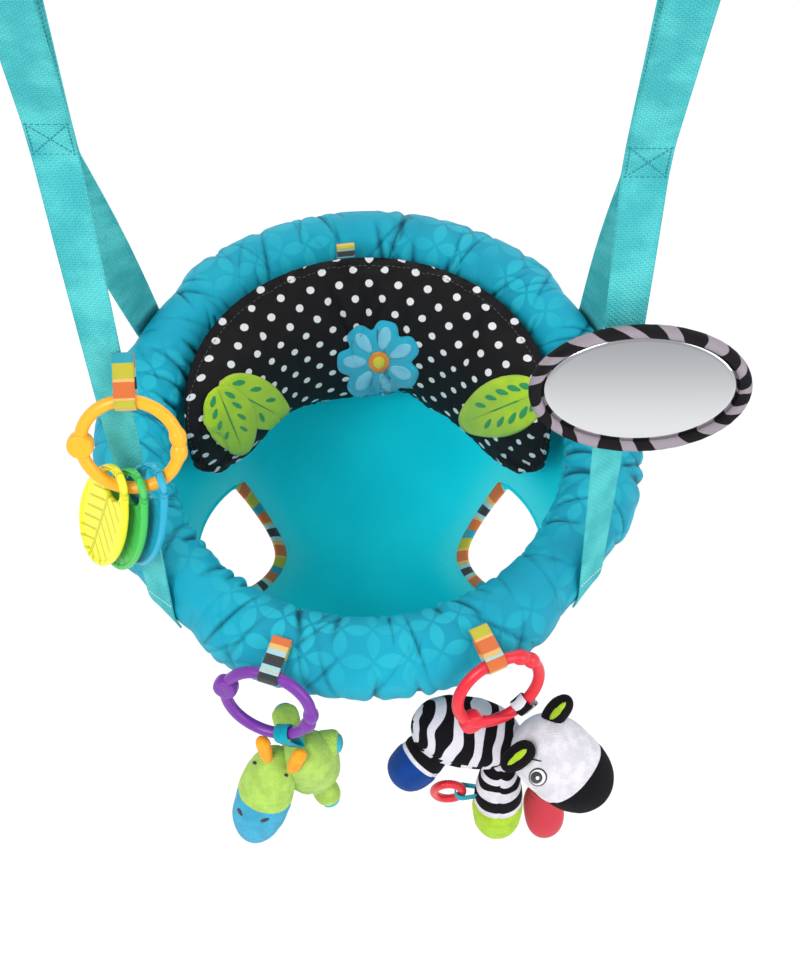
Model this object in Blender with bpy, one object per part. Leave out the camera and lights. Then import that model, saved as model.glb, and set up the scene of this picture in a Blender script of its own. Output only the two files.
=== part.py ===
"""Baby doorway jumper: a padded ring seat on webbing straps, a spreader bar, a sleeved spring and a door clamp.

Metres, +Z up, the baby faces -Y. The origin is the ledge under the front pad of the door clamp, in the middle of
its width. Two working frames hang below it: the hang frame, whose z axis is the plumb line through the clamp's
pivot, and the seat frame, whose origin is the middle of the padded ring.
"""

import math

import bmesh
import bpy
from mathutils import Matrix, Vector

# Fits shared by all pieces
GAP = 0.0003
OVERRUN = 0.004
CLOTH = 0.0016
X_AXIS, Y_AXIS, Z_AXIS = Vector((1, 0, 0)), Vector((0, 1, 0)), Vector((0, 0, 1))

# Doorway that the clamp holds
WALL = 0.115
CASING_PROUD = 0.015
CASING_HEIGHT = 0.070
CASING_CLEAR = 0.005

# Door clamp
PAD_WIDTH, PAD_HEIGHT, PAD_ROUND = 0.044, 0.026, 0.002
PAD_DEPTH = CASING_PROUD + CASING_CLEAR
ARM_DEPTH, FORK_WIDTH, TONGUE_WIDTH = 0.013, 0.018, 0.008
PIVOT_DROP, TAIL_DROP, TAIL_OFFSET = 0.030, 0.036, 0.003
BOSS_RADIUS, PIN_RADIUS, PIN_HEAD, PIN_HEAD_THICK = 0.013, 0.004, 0.0075, 0.003
TAIL_RIM, TAIL_HOLE, TAIL_SLOT_DEG = 0.0055, 0.006, 14.0

# Rings, webbing, buckle and spring between the clamp and the spreader
WIRE = 0.003
DEE_RADIUS, DEE_HEIGHT, DEE_CORNER = 0.017, 0.032, 0.005
HANG_WEB_WIDTH, HANG_WEB_LENGTH = 0.025, 0.190
BUCKLE_WIDTH, BUCKLE_DEPTH, BUCKLE_HEIGHT, BUCKLE_SHARE = 0.034, 0.016, 0.010, 0.72
SPRING_WIRE, COIL_RADIUS, TURNS, COIL_PITCH = 0.002, 0.016, 17, 0.0056
HOOK_RADIUS, HOOK_LEAD = 0.0075, 0.010
SLEEVE_CLEAR, SLEEVE_WALL, SLEEVE_MOUTH, SLEEVE_TAPER = 0.002, 0.0016, 0.0042, 0.006
EYE_RADIUS, EYE_STEM, NUT_RADIUS, NUT_THICK = 0.0095, 0.006, 0.0065, 0.005

# Spreader bar and the seat's webbing
BAR_RADIUS, CAP_WALL, CAP_LENGTH, CAP_DEPTH = 0.011, 0.0032, 0.020, 0.016
STRAP_WIDTH, STRAP_SPREAD, STRAP_RISE, ARCH_STEPS = 0.0285, 0.172, 0.555, 8
CROSS_BOX_LENGTH = 0.030
CROSS_BOX_LEFT_X, CROSS_BOX_LEFT_Z = -0.1755, 0.350
CROSS_BOX_RIGHT_X, CROSS_BOX_RIGHT_Z = 0.1680, 0.329
CROSS_BOX_AT = {-1: (CROSS_BOX_LEFT_X, CROSS_BOX_LEFT_Z), 1: (CROSS_BOX_RIGHT_X, CROSS_BOX_RIGHT_Z)}
STRAP_FRONT_AZIMUTH = {-1: -137.0, 1: -36.6}
STRAP_BACK_AZIMUTH = {-1: 149.0, 1: 31.0}

# Padded ring; its middle hangs a little behind the plumb line, because the toys in front outweigh the pillow
SEAT_BALANCE = 0.0155
RING_RADIUS, PAD_RADIUS, HOOP_RADIUS = 0.176, 0.029, 0.0095
RING_SIDES, PAD_SIDES, HOOP_SIDES, BORE_SIDES = 48, 11, 6, 6
SLIT_DEG, TUCK_DEG = 5.0, 42.0
PINCH, PINCH_DEG, PINCH_FADE_DEG, PINCH_FACE_DEG, PINCH_REACH_DEG, PINCH_EASE_DEG = 0.007, 7.0, 9.0, -8.0, 40.0, 45.0

# Sling seat, leg holes and their bindings
SLING_DEPTH, SLING_SHARE_TOP, SLING_SHARE_LOW = 0.180, 2.6, 2.0
SLING_STATIONS, SLING_SEAM = 9, 10
LEG_HOLE = Vector((0.074, 0.074, 0.067))
LEG_HOLE_AT = Vector((0.132, -0.062, -0.107))
LEG_HOLE_TURN_SHARE = 0.29
BINDING_WIDTH, BINDING_THICK, BINDING_LAP = 0.011, 0.0014, 0.0015

# Back pillow
PILLOW_FROM_DEG, PILLOW_TO_DEG, PILLOW_THICK, PILLOW_BACK = 2.0, 178.0, 0.040, 0.029
PILLOW_TOP_INSET, PILLOW_TOP_RISE, PILLOW_LOW_INSET, PILLOW_LOW_DROP = 0.0302, 0.031, 0.055, 0.115
PILLOW_TOP = Vector((RING_RADIUS - PILLOW_TOP_INSET, PILLOW_TOP_RISE))
PILLOW_LOW = Vector((RING_RADIUS - PILLOW_LOW_INSET, -PILLOW_LOW_DROP))
PILLOW_END_SHARE, PILLOW_CREASE_SHARE = 5.0, 0.8
PILLOW_LOOP_DEG, LOOP_FOLD = 97.0, 0.002

# Ribbon loops, links and leaf teethers
RIBBON_WIDTH, RIBBON, RIBBON_CLEAR, LOOP_CLEAR = 0.014, 0.0010, 0.0015, 0.0013
LINK_RADIUS, LINK_BAR, LINK_BEAD, LINK_GAP_DEG, BEAD_DEG = 0.0315, 0.0042, 0.0056, 5.0, 9.0
LINK_BOSS, LINK_BOSS_THICK = 0.0088, 0.0095
LINK_LEAN_DEG, LINK_STAND_OFF, LINK_DROP = 17.0, 0.014, -0.003
FRONT_LOOP_DEG, FRONT_LOOP_SEAM = {-1: -108.0, 1: -65.0}, 5
TOY_LOOP_DEG = {-1: 25.0, 1: 30.0}
SIDE_LINK_HEIGHT, SIDE_LINK_ALONG, SIDE_LINK_OFF, SIDE_LINK_LEAN_DEG = 0.168, 0.0123, 0.0299, 32.0
LEAF_LENGTH, LEAF_WIDTH, LEAF_THICK, LEAF_WEB, LEAF_EYE = 0.092, 0.050, 0.0054, 0.0028, 0.0104
LEAF_EYE_SHARE, LEAF_PITCH, LEAF_YAW_DEG, LEAF_LEAN_DEG = 0.165, 0.0125, 57.0, 22.0
LEAF_SAG = {"yellow": 0.0016, "green": 0.0022, "blue": 0.0003}

# Mirror on the right front leg of the webbing
MIRROR_HALF_WIDTH, MIRROR_HALF_HEIGHT, MIRROR_RIM, MIRROR_THICK = 0.071, 0.0495, 0.008, 0.009
MIRROR_SHEET, MIRROR_RECESS, MIRROR_STAND_OFF, MIRROR_SHIFT = 0.002, 0.003, 0.014, 0.012
MIRROR_HEIGHT, MIRROR_TAB_WIDTH, MIRROR_TAB_HEIGHT, MIRROR_TAB_LIFT = 0.180, 0.022, 0.006, 0.0055
MIRROR_BAND_WIDTH, MIRROR_BAND_CLEAR = 0.018, 0.0009

# Plush toys: their places are shares of one span, counted from the loop that each hangs on
TOY_SPAN, TOY_LOOP_DROP, TOY_LOOP_WIDTH = 0.100, 0.030, 0.0112
TEETHER_LEAF, TEETHER_RING, TEETHER_BAR, TAG_WIDTH = 0.016, 0.017, 0.0033, 0.009
TEETHER_FLAT_SHARE, TEETHER_RING_SHARE = 0.35, 0.62
ROUND = 10


# Meshes

def loft(rings, closed=False, start=None, end=None):
    """Skin between rings of points; open ends are capped flat, or drawn to a point where one is given."""
    bm = bmesh.new()
    loops = [[bm.verts.new(point) for point in ring] for ring in rings]
    count = len(loops[0])
    pairs = list(zip(loops, loops[1:]))
    if closed:
        pairs.append((loops[-1], loops[0]))
    for low, high in pairs:
        for i in range(count):
            j = (i + 1) % count
            bm.faces.new((low[i], low[j], high[j], high[i]))
    if not closed:
        for ring, tip in ((loops[0], start), (loops[-1], end)):
            if tip is None:
                bm.faces.new(ring)
                continue
            point = bm.verts.new(tip)
            for i in range(count):
                bm.faces.new((ring[i], ring[(i + 1) % count], point))
    bmesh.ops.recalc_face_normals(bm, faces=bm.faces)
    mesh = bpy.data.meshes.new("mesh")
    bm.to_mesh(mesh)
    bm.free()
    return mesh


def round_ring(centre, side, up, radius_side, radius_up, count=ROUND):
    """Points of an ellipse in the plane of side and up."""
    angles = [math.tau * i / count for i in range(count)]
    return [centre + side * (radius_side * math.cos(a)) + up * (radius_up * math.sin(a)) for a in angles]


def flat_ring(centre, across, normal, width, thick):
    """Corners of a flat strip's section."""
    half, rise = across * (width / 2), normal * (thick / 2)
    return [centre - half - rise, centre + half - rise, centre + half + rise, centre - half + rise]


def directions(points, closed=False):
    """Unit directions along a polyline."""
    last = len(points) - 1
    found = []
    for i in range(len(points)):
        before = points[i - 1] if i or closed else points[0]
        after = points[(i + 1) % len(points)] if i < last or closed else points[last]
        found.append((after - before).normalized())
    return found


def planar_tube(points, normal, radii, closed=False, count=8):
    """Tube along points that lie in one plane; open ends are drawn to a rounded tip."""
    runs = directions(points, closed)
    rings = [
        round_ring(point, normal, run.cross(normal), radius, radius, count)
        for point, run, radius in zip(points, runs, radii)
    ]
    if closed:
        return loft(rings, closed=True)
    return loft(rings, start=points[0] - runs[0] * (radii[0] / 2), end=points[-1] + runs[-1] * (radii[-1] / 2))


def strip(stations, width, thick):
    """Flat webbing along stations of a point and the way its face looks."""
    points = [point for point, face in stations]
    rings = []
    for (point, face), run in zip(stations, directions(points)):
        across = face.cross(run).normalized()
        rings.append(flat_ring(point, across, run.cross(across), width, thick))
    return loft(rings)


def belt(low, low_radius, high, high_radius, axis, steps=7):
    """Centre points and outward directions of a band round two pulleys with parallel axes."""
    along = (high - low).normalized()
    across = axis.cross(along)
    wrap = math.pi / 2 + math.asin((high_radius - low_radius) / (high - low).length)
    found = []
    for centre, radius, first, last in (
        (high, high_radius, -wrap, wrap),
        (low, low_radius, wrap, math.tau - wrap),
    ):
        for i in range(steps):
            angle = first + (last - first) * i / (steps - 1)
            out = along * math.cos(angle) + across * math.sin(angle)
            found.append((centre + out * radius, out))
    return found


def band(low, low_radius, high, high_radius, axis, width, thick, steps=7):
    """Closed ribbon round two pulleys, as wide as width along the pulleys' axes."""
    stations = belt(low, low_radius, high, high_radius, axis, steps)
    return loft([flat_ring(point, axis, out, width, thick) for point, out in stations], closed=True)


def swell(first, last, first_radius, last_radius, grow=0.0, flat=1.0, plump=2.6, stations=7, count=ROUND):
    """Stuffed shape between two points that swells and rounds off at both ends."""
    run = (last - first).normalized()
    side = run.cross(Z_AXIS if abs(run.z) < 0.9 else X_AXIS).normalized()
    up = side.cross(run)
    rings = []
    for i in range(1, stations):
        share = (1 - math.cos(math.pi * i / stations)) / 2
        bulge = (1 - abs(2 * share - 1) ** plump) ** 0.5
        radius = (first_radius + (last_radius - first_radius) * share) * bulge + grow
        rings.append(round_ring(first.lerp(last, share), side, up, radius, radius * flat, count))
    return loft(rings, start=first - run * grow, end=last + run * grow)


def box(low, high):
    """Block between two corners."""
    corners = [(low.x, low.y), (high.x, low.y), (high.x, high.y), (low.x, high.y)]
    return loft([[Vector((x, y, z)) for x, y in corners] for z in (low.z, high.z)])


def rod(first, last, radius, count=16):
    """Plain cylinder between two points."""
    run = (last - first).normalized()
    side = run.cross(Z_AXIS if abs(run.z) < 0.9 else X_AXIS).normalized()
    up = side.cross(run)
    return loft([round_ring(point, side, up, radius, radius, count) for point in (first, last)])


def turned(profile, start, run, count=16):
    """Solid of revolution: profile pairs are a distance along run and a radius."""
    side = run.cross(Z_AXIS if abs(run.z) < 0.9 else X_AXIS).normalized()
    up = side.cross(run)
    return loft([round_ring(start + run * along, side, up, radius, radius, count) for along, radius in profile])


def bezier(first, first_pull, last_pull, last, steps):
    """Points on a cubic curve."""
    found = []
    for i in range(steps + 1):
        t = i / steps
        found.append(
            first * (1 - t) ** 3
            + first_pull * (3 * t * (1 - t) ** 2)
            + last_pull * (3 * t * t * (1 - t))
            + last * t**3
        )
    return found


# Objects

def clear():
    """Start from an empty scene."""
    for item in list(bpy.data.objects):
        bpy.data.objects.remove(item, do_unlink=True)


def finish(name, colour, roughness, metallic=0.0):
    """Material of one colour."""
    made = bpy.data.materials.new(name)
    made.use_nodes = True
    shader = made.node_tree.nodes["Principled BSDF"]
    shader.inputs["Base Color"].default_value = (*colour, 1)
    shader.inputs["Roughness"].default_value = roughness
    shader.inputs["Metallic"].default_value = metallic
    return made


def pivot(name, place):
    """Empty on a joint's axis; the pieces that move together hang from it."""
    empty = bpy.data.objects.new(name, None)
    bpy.context.collection.objects.link(empty)
    empty.location = place
    empty.empty_display_size = STRAP_WIDTH
    print("pivot", name, [round(value, 5) for value in place])
    return empty


def add(name, mesh, material, origin, parent):
    """Piece whose mesh is given in a frame at origin, hung from its pivot."""
    piece = bpy.data.objects.new(name, mesh)
    bpy.context.collection.objects.link(piece)
    piece.location = origin
    piece.parent = parent
    piece.matrix_parent_inverse = Matrix.Translation(-parent.location)
    mesh.materials.append(material)
    mesh.shade_smooth()
    mesh.set_sharp_from_angle(angle=math.radians(40))
    return piece


def shape(piece, mesh, operation):
    """Join a guide's mesh to a piece, or cut it away; the guide stays hidden from the render."""
    guide = bpy.data.objects.new(f"{piece.name}_guide_{len(piece.modifiers)}", mesh)
    bpy.context.collection.objects.link(guide)
    guide.location = piece.location
    guide.parent = piece.parent
    guide.matrix_parent_inverse = piece.matrix_parent_inverse
    guide.hide_render = True
    guide.display_type = "WIRE"
    change = piece.modifiers.new(operation.lower(), "BOOLEAN")
    change.operation = operation
    change.object = guide


# Places that several pieces share

ARM_Y = WALL / 2 + PAD_DEPTH + GAP + ARM_DEPTH / 2
PLUMB_Y = WALL / 2 + CASING_PROUD / 2
PIVOT_Z = -CASING_HEIGHT - PIVOT_DROP
TAIL_Z = PIVOT_Z - TAIL_DROP
DEE_REACH = (DEE_RADIUS**2 - (FORK_WIDTH / 2) ** 2) ** 0.5
DEE_SAG = DEE_RADIUS - DEE_REACH + WIRE * DEE_RADIUS / DEE_REACH
HANG_Z = TAIL_Z - TAIL_HOLE + GAP + DEE_SAG
UPPER_BAR_Z = HANG_Z - DEE_HEIGHT
LOWER_BAR_Z = UPPER_BAR_Z - HANG_WEB_LENGTH
LOWER_DEE_Z = LOWER_BAR_Z - DEE_HEIGHT
HOOK_TOP_Z = LOWER_DEE_Z + WIRE + GAP + SPRING_WIRE
COIL_TOP_Z = HOOK_TOP_Z - 2 * HOOK_RADIUS - HOOK_LEAD
COIL_LOW_Z = COIL_TOP_Z - TURNS * COIL_PITCH
HOOK_LOW_Z = COIL_LOW_Z - HOOK_LEAD - 2 * HOOK_RADIUS
EYE_Z = HOOK_LOW_Z + SPRING_WIRE + GAP + WIRE - EYE_RADIUS
BAR_Z = EYE_Z - EYE_RADIUS - EYE_STEM - BAR_RADIUS
RING_Z = BAR_Z - STRAP_RISE
HANG = Vector((0, PLUMB_Y, 0))
SEAT = Vector((0, PLUMB_Y + SEAT_BALANCE, RING_Z))


def heading(azimuth_deg):
    """Level unit vector at an azimuth."""
    turn = math.radians(azimuth_deg)
    return Vector((math.cos(turn), math.sin(turn), 0))


def ease(value):
    """Soft step from 0 to 1."""
    value = min(1, max(0, value))
    return value * value * (3 - 2 * value)


def pinch(azimuth_deg, angle_deg):
    """How far the webbing draws the pad in at one place of its section."""
    nearest = min(
        abs((azimuth_deg - place + 180) % 360 - 180)
        for place in (*STRAP_FRONT_AZIMUTH.values(), *STRAP_BACK_AZIMUTH.values())
    )
    turned_away = abs((angle_deg - PINCH_FACE_DEG + 180) % 360 - 180)
    along = ease(1 - (nearest - PINCH_DEG) / PINCH_FADE_DEG)
    return PINCH * along * ease(1 - (turned_away - PINCH_REACH_DEG) / PINCH_EASE_DEG)


def pad_angle(i):
    """Angle of one of the padded cover's lengthwise edges, from one lip of its slit round to the other."""
    return -90 + SLIT_DEG + (360 - 2 * SLIT_DEG) * i / PAD_SIDES


def pad_point(azimuth_deg, angle_deg, stand_off=0.0):
    """Point over the padded ring's surface, and the way that surface looks."""
    out = heading(azimuth_deg)
    turn = math.radians(angle_deg)
    face = out * math.cos(turn) + Z_AXIS * math.sin(turn)
    radius = PAD_RADIUS - pinch(azimuth_deg, angle_deg) + stand_off
    return out * RING_RADIUS + face * radius, face


# Door clamp

def clamp_arm(name, side, width, material, parent):
    """One arm of the tongs: pad end, bend under the door head, pivot boss and tail eye."""
    top = Vector((0, side * ARM_Y, PAD_HEIGHT * 0.9))
    knee = Vector((0, side * ARM_Y, -CASING_HEIGHT * 0.75))
    centre = Vector((0, 0, PIVOT_Z))
    tail = Vector((0, -side * TAIL_OFFSET, TAIL_Z))
    line = [top, top.lerp(knee, 0.5)]
    line += bezier(knee, knee - Z_AXIS * (CASING_HEIGHT * 0.45), centre + Y_AXIS * (side * ARM_Y * 0.45), centre, 8)
    line += [centre.lerp(tail, 0.5), tail]
    rings = [flat_ring(p, X_AXIS, run.cross(X_AXIS), width, ARM_DEPTH) for p, run in zip(line, directions(line))]
    piece = add(name, loft(rings), material, HANG, parent)
    half = X_AXIS * (width / 2)
    shape(piece, rod(centre - half, centre + half, BOSS_RADIUS, 20), "UNION")
    reach = half + X_AXIS * OVERRUN
    shape(piece, loft(tail_eye(tail, TAIL_HOLE + TAIL_RIM, half)), "UNION")
    shape(piece, loft(tail_eye(tail, TAIL_HOLE, reach)), "DIFFERENCE")
    shape(piece, rod(centre - reach, centre + reach, PIN_RADIUS + GAP, 20), "DIFFERENCE")
    return piece


def tail_eye(tail, radius, reach):
    """Both ends of a slot-shaped block that bends round the pivot, so the ring hangs free at any opening."""
    centre = Vector((0, 0, PIVOT_Z))
    arm = (tail - centre).length
    middle = math.atan2(tail.y, centre.z - tail.z)
    sweep = math.radians(TAIL_SLOT_DEG)
    outline = []
    for distance, first, last in ((arm + radius, -sweep, sweep), (arm - radius, sweep, -sweep)):
        for i in range(7):
            turn = middle + first + (last - first) * i / 6
            outline.append(centre + (Y_AXIS * math.sin(turn) - Z_AXIS * math.cos(turn)) * distance)
        cap = middle + last
        out = Y_AXIS * math.sin(cap) - Z_AXIS * math.cos(cap)
        side = (Y_AXIS * math.cos(cap) + Z_AXIS * math.sin(cap)) * math.copysign(1, last)
        away = math.copysign(1, distance - arm)
        for i in range(1, 5):
            turn = math.pi * i / 5
            outline.append(centre + out * (arm + away * radius * math.cos(turn)) + side * (radius * math.sin(turn)))
    return [[point + reach * s for point in outline] for s in (-1, 1)]


def clamp(materials, root, rear):
    """Tongs that grip the wall over the door casing."""
    front_arm = clamp_arm("clamp_front_arm", -1, FORK_WIDTH, materials["clamp"], root)
    clamp_arm("clamp_rear_arm", 1, TONGUE_WIDTH, materials["clamp"], rear)
    half = Vector((TONGUE_WIDTH / 2 + GAP, ARM_Y * 0.42, 0))
    low = Vector((-half.x, -half.y, TAIL_Z - TAIL_HOLE - TAIL_RIM - OVERRUN))
    high = Vector((half.x, half.y, PIVOT_Z + BOSS_RADIUS + TAIL_RIM))
    shape(front_arm, box(low, high), "DIFFERENCE")
    reach = FORK_WIDTH / 2 + GAP
    profile = [
        (-reach - PIN_HEAD_THICK, PIN_HEAD * 0.8),
        (-reach - PIN_HEAD_THICK / 2, PIN_HEAD),
        (-reach, PIN_HEAD),
        (-reach, PIN_RADIUS),
        (reach, PIN_RADIUS),
        (reach, PIN_HEAD),
        (reach + PIN_HEAD_THICK / 2, PIN_HEAD),
        (reach + PIN_HEAD_THICK, PIN_HEAD * 0.8),
    ]
    add("clamp_pivot_pin", turned(profile, Z_AXIS * PIVOT_Z, X_AXIS), materials["steel"], HANG, root)
    for name, side, parent in (("clamp_front_pad", -1, root), ("clamp_rear_pad", 1, rear)):
        near, far = side * WALL / 2, side * (WALL / 2 + PAD_DEPTH)
        low = Vector((-PAD_WIDTH / 2, min(near, far), 0))
        high = Vector((PAD_WIDTH / 2, max(near, far), PAD_HEIGHT))
        pad = add(name, box(low, high), materials["rubber"], HANG, parent)
        bevel = pad.modifiers.new("rounded edges", "BEVEL")
        bevel.width = PAD_ROUND
        bevel.segments = 1


# Suspension between the clamp and the spreader bar

def dee_points(arc_centre, up):
    """D-shaped ring in the XZ plane: a half circle towards up and a straight bar below it."""
    down = -up
    bar = arc_centre + down * (DEE_HEIGHT - DEE_RADIUS)
    points = [
        arc_centre + (X_AXIS * math.cos(a) + up * math.sin(a)) * DEE_RADIUS
        for a in [math.pi * i / 12 for i in range(13)]
    ]
    for side in (-1, 1):
        corner = bar + X_AXIS * (side * (DEE_RADIUS - DEE_CORNER)) + up * DEE_CORNER
        turns = [math.pi / 2 * i / 3 for i in range(4)]
        if side > 0:
            turns.reverse()
        points += [
            corner + (X_AXIS * (side * math.cos(a)) + down * math.sin(a)) * DEE_CORNER for a in turns
        ]
    return points


def spring_points():
    """Hook, coil and hook as one unbroken line, from the top down."""
    top_hook = Vector((0, 0, HOOK_TOP_Z - HOOK_RADIUS))
    low_hook = Vector((0, 0, HOOK_LOW_Z + HOOK_RADIUS))
    points = []
    for i in range(10):
        turn = math.radians(-60 + 30 * i)
        points.append(top_hook + (Y_AXIS * math.cos(turn) + Z_AXIS * math.sin(turn)) * HOOK_RADIUS)
    points[-1] = top_hook - Y_AXIS * (HOOK_RADIUS * 0.5) - Z_AXIS * (HOOK_RADIUS * 0.87)
    points.append(top_hook - Z_AXIS * (HOOK_RADIUS + HOOK_LEAD * 0.3))
    points.append(Vector((0, -COIL_RADIUS * 0.45, COIL_TOP_Z + HOOK_LEAD * 0.35)))
    steps = 8
    for i in range(TURNS * steps + 1):
        turn = -math.pi / 2 + math.tau * i / steps
        height = COIL_TOP_Z - COIL_PITCH * i / steps
        points.append(Vector((math.cos(turn) * COIL_RADIUS, math.sin(turn) * COIL_RADIUS, height)))
    points.append(Vector((0, -COIL_RADIUS * 0.45, COIL_LOW_Z - HOOK_LEAD * 0.35)))
    points.append(low_hook + Z_AXIS * (HOOK_RADIUS + HOOK_LEAD * 0.3))
    for i in range(10):
        turn = math.radians(-120 - 30 * i)
        points.append(low_hook + (Y_AXIS * -math.cos(turn) - Z_AXIS * math.sin(turn)) * HOOK_RADIUS)
    return points


def least_gap(points, radius, skip):
    """Smallest distance between the faces of a tube's own turns."""
    least = math.inf
    for i, point in enumerate(points):
        for other in points[i + skip :]:
            least = min(least, (other - point).length)
    return least - 2 * radius


def wire(name, points, radius, material, origin, parent):
    """Round wire along a line of points."""
    curve = bpy.data.curves.new(name, "CURVE")
    curve.dimensions = "3D"
    curve.bevel_depth = radius
    curve.bevel_resolution = 1
    curve.resolution_u = 1
    curve.render_resolution_u = 0
    curve.use_fill_caps = True
    spline = curve.splines.new("POLY")
    spline.points.add(len(points) - 1)
    for spot, point in zip(spline.points, points):
        spot.co = (*point, 1)
    piece = bpy.data.objects.new(name, curve)
    bpy.context.collection.objects.link(piece)
    piece.location = origin
    piece.parent = parent
    piece.matrix_parent_inverse = Matrix.Translation(-parent.location)
    curve.materials.append(material)
    return piece


def suspension(materials, hanger, adjuster):
    """Hanging ring, adjusting strap with its buckle, lower ring, spring and sleeve."""
    upper = dee_points(Vector((0, 0, HANG_Z - DEE_RADIUS)), Z_AXIS)
    lower = dee_points(Vector((0, 0, LOWER_DEE_Z + DEE_RADIUS)), -Z_AXIS)
    for name, points, parent in (("hanging_ring", upper, hanger), ("spring_ring", lower, adjuster)):
        mesh = planar_tube(points, Y_AXIS, [WIRE] * len(points), closed=True)
        add(name, mesh, materials["steel"], HANG, parent)
    wrap = WIRE + GAP + CLOTH / 2
    low, high = Z_AXIS * LOWER_BAR_Z, Z_AXIS * UPPER_BAR_Z
    mesh = band(low, wrap, high, wrap, X_AXIS, HANG_WEB_WIDTH, CLOTH)
    add("adjusting_strap", mesh, materials["webbing"], HANG, hanger)

    middle = high.lerp(low, BUCKLE_SHARE)
    half = Vector((BUCKLE_WIDTH / 2, BUCKLE_DEPTH / 2, BUCKLE_HEIGHT / 2))
    buckle = add("adjusting_buckle", box(middle - half, middle + half), materials["clamp"], HANG, adjuster)
    for side in (-1, 1):
        centre = middle + Y_AXIS * (side * wrap)
        slot = Vector((HANG_WEB_WIDTH / 2 + GAP * 2, CLOTH / 2 + GAP, BUCKLE_HEIGHT))
        shape(buckle, box(centre - slot, centre + slot), "DIFFERENCE")

    points = spring_points()
    print("main_spring least gap to itself (m)", round(least_gap(points, SPRING_WIRE, 6), 5))
    wire("main_spring", points, SPRING_WIRE, materials["steel"], HANG, adjuster)
    inner = COIL_RADIUS + SPRING_WIRE + SLEEVE_CLEAR
    outer = inner + SLEEVE_WALL
    ends = (COIL_TOP_Z + HOOK_LEAD * 0.9, COIL_LOW_Z - HOOK_LEAD * 0.9)
    shoulders = (COIL_TOP_Z + HOOK_LEAD * 0.9 - SLEEVE_TAPER, COIL_LOW_Z - HOOK_LEAD * 0.9 + SLEEVE_TAPER)
    profile = [
        (SLEEVE_MOUTH, ends[0]),
        (SLEEVE_MOUTH + SLEEVE_WALL, ends[0]),
        (outer, shoulders[0]),
        (outer, shoulders[1]),
        (SLEEVE_MOUTH + SLEEVE_WALL, ends[1]),
        (SLEEVE_MOUTH, ends[1]),
        (inner, shoulders[1] + SLEEVE_WALL / 2),
        (inner, shoulders[0] - SLEEVE_WALL / 2),
    ]
    rings = [
        [heading(360 * i / 20) * radius + Z_AXIS * height for radius, height in profile]
        for i in range(20)
    ]
    add("spring_sleeve", loft(rings, closed=True), materials["sleeve"], HANG, adjuster)


# Spreader bar

def spreader(materials, seat):
    """Round bar with an eye bolt through its middle and a cap on each end."""
    centre = Z_AXIS * BAR_Z
    reach = STRAP_SPREAD + STRAP_WIDTH / 2 + CAP_LENGTH
    end = X_AXIS * (reach - CAP_WALL - GAP)
    bar = add("spreader_bar", rod(centre - end, centre + end, BAR_RADIUS, 20), materials["wood"], HANG, seat)
    tall = Z_AXIS * (BAR_RADIUS + OVERRUN)
    shape(bar, rod(centre - tall, centre + tall, WIRE + GAP, 12), "DIFFERENCE")

    eye_centre = Z_AXIS * EYE_Z
    circle = [
        eye_centre + (X_AXIS * math.cos(a) + Z_AXIS * math.sin(a)) * EYE_RADIUS
        for a in [math.tau * i / 20 for i in range(20)]
    ]
    mesh = planar_tube(circle, Y_AXIS, [WIRE] * len(circle), closed=True)
    bolt = add("spreader_eye_bolt", mesh, materials["steel"], HANG, seat)
    nut_top = BAR_Z - BAR_RADIUS - GAP
    shank = [(-EYE_RADIUS, WIRE * 0.98), (nut_top - EYE_Z, WIRE * 0.98)]
    profile = [(-along, radius) for along, radius in shank]
    profile += [
        (EYE_Z - nut_top, NUT_RADIUS),
        (EYE_Z - nut_top + NUT_THICK, NUT_RADIUS),
        (EYE_Z - nut_top + NUT_THICK, WIRE),
        (EYE_Z - nut_top + NUT_THICK + WIRE, WIRE * 0.8),
    ]
    shape(bolt, turned(profile, eye_centre, -Z_AXIS, 12), "UNION")

    for name, side in (("spreader_cap_left", -1), ("spreader_cap_right", 1)):
        bore, outer = BAR_RADIUS + GAP, BAR_RADIUS + GAP + CAP_WALL
        mouth = reach - CAP_WALL - CAP_DEPTH
        profile = [(mouth, bore), (mouth, outer), (reach - CAP_WALL, outer), (reach, outer * 0.8)]
        cap = add(name, turned(profile, centre, X_AXIS * side, 20), materials["clamp"], HANG, seat)
        inside = [centre + X_AXIS * (side * x) for x in (mouth - OVERRUN, reach - CAP_WALL)]
        shape(cap, rod(*inside, bore, 20), "DIFFERENCE")


# Webbing of the seat

def tuck_stations(azimuth_deg, start):
    """Stations where a leg of the webbing comes down from start onto the ring's outer side and tucks under it."""
    out = heading(azimuth_deg)
    along = Z_AXIS.cross(out)
    reach = PAD_RADIUS - PINCH + GAP * 2 + CLOTH / 2
    radial, height = start.dot(out) - RING_RADIUS, start.z
    away = math.hypot(radial, height)
    first = math.atan2(height, radial) - math.acos(reach / away)
    slant = -start.dot(along) / away
    steps = 5
    found = []
    for i in range(steps + 1):
        turn = first - math.radians(TUCK_DEG) * i / steps
        drift = math.degrees(slant * reach * (first - turn) / RING_RADIUS)
        here = heading(azimuth_deg + drift)
        face = here * math.cos(turn) + Z_AXIS * math.sin(turn)
        found.append((here * RING_RADIUS + face * reach, face))
    return found


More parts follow.
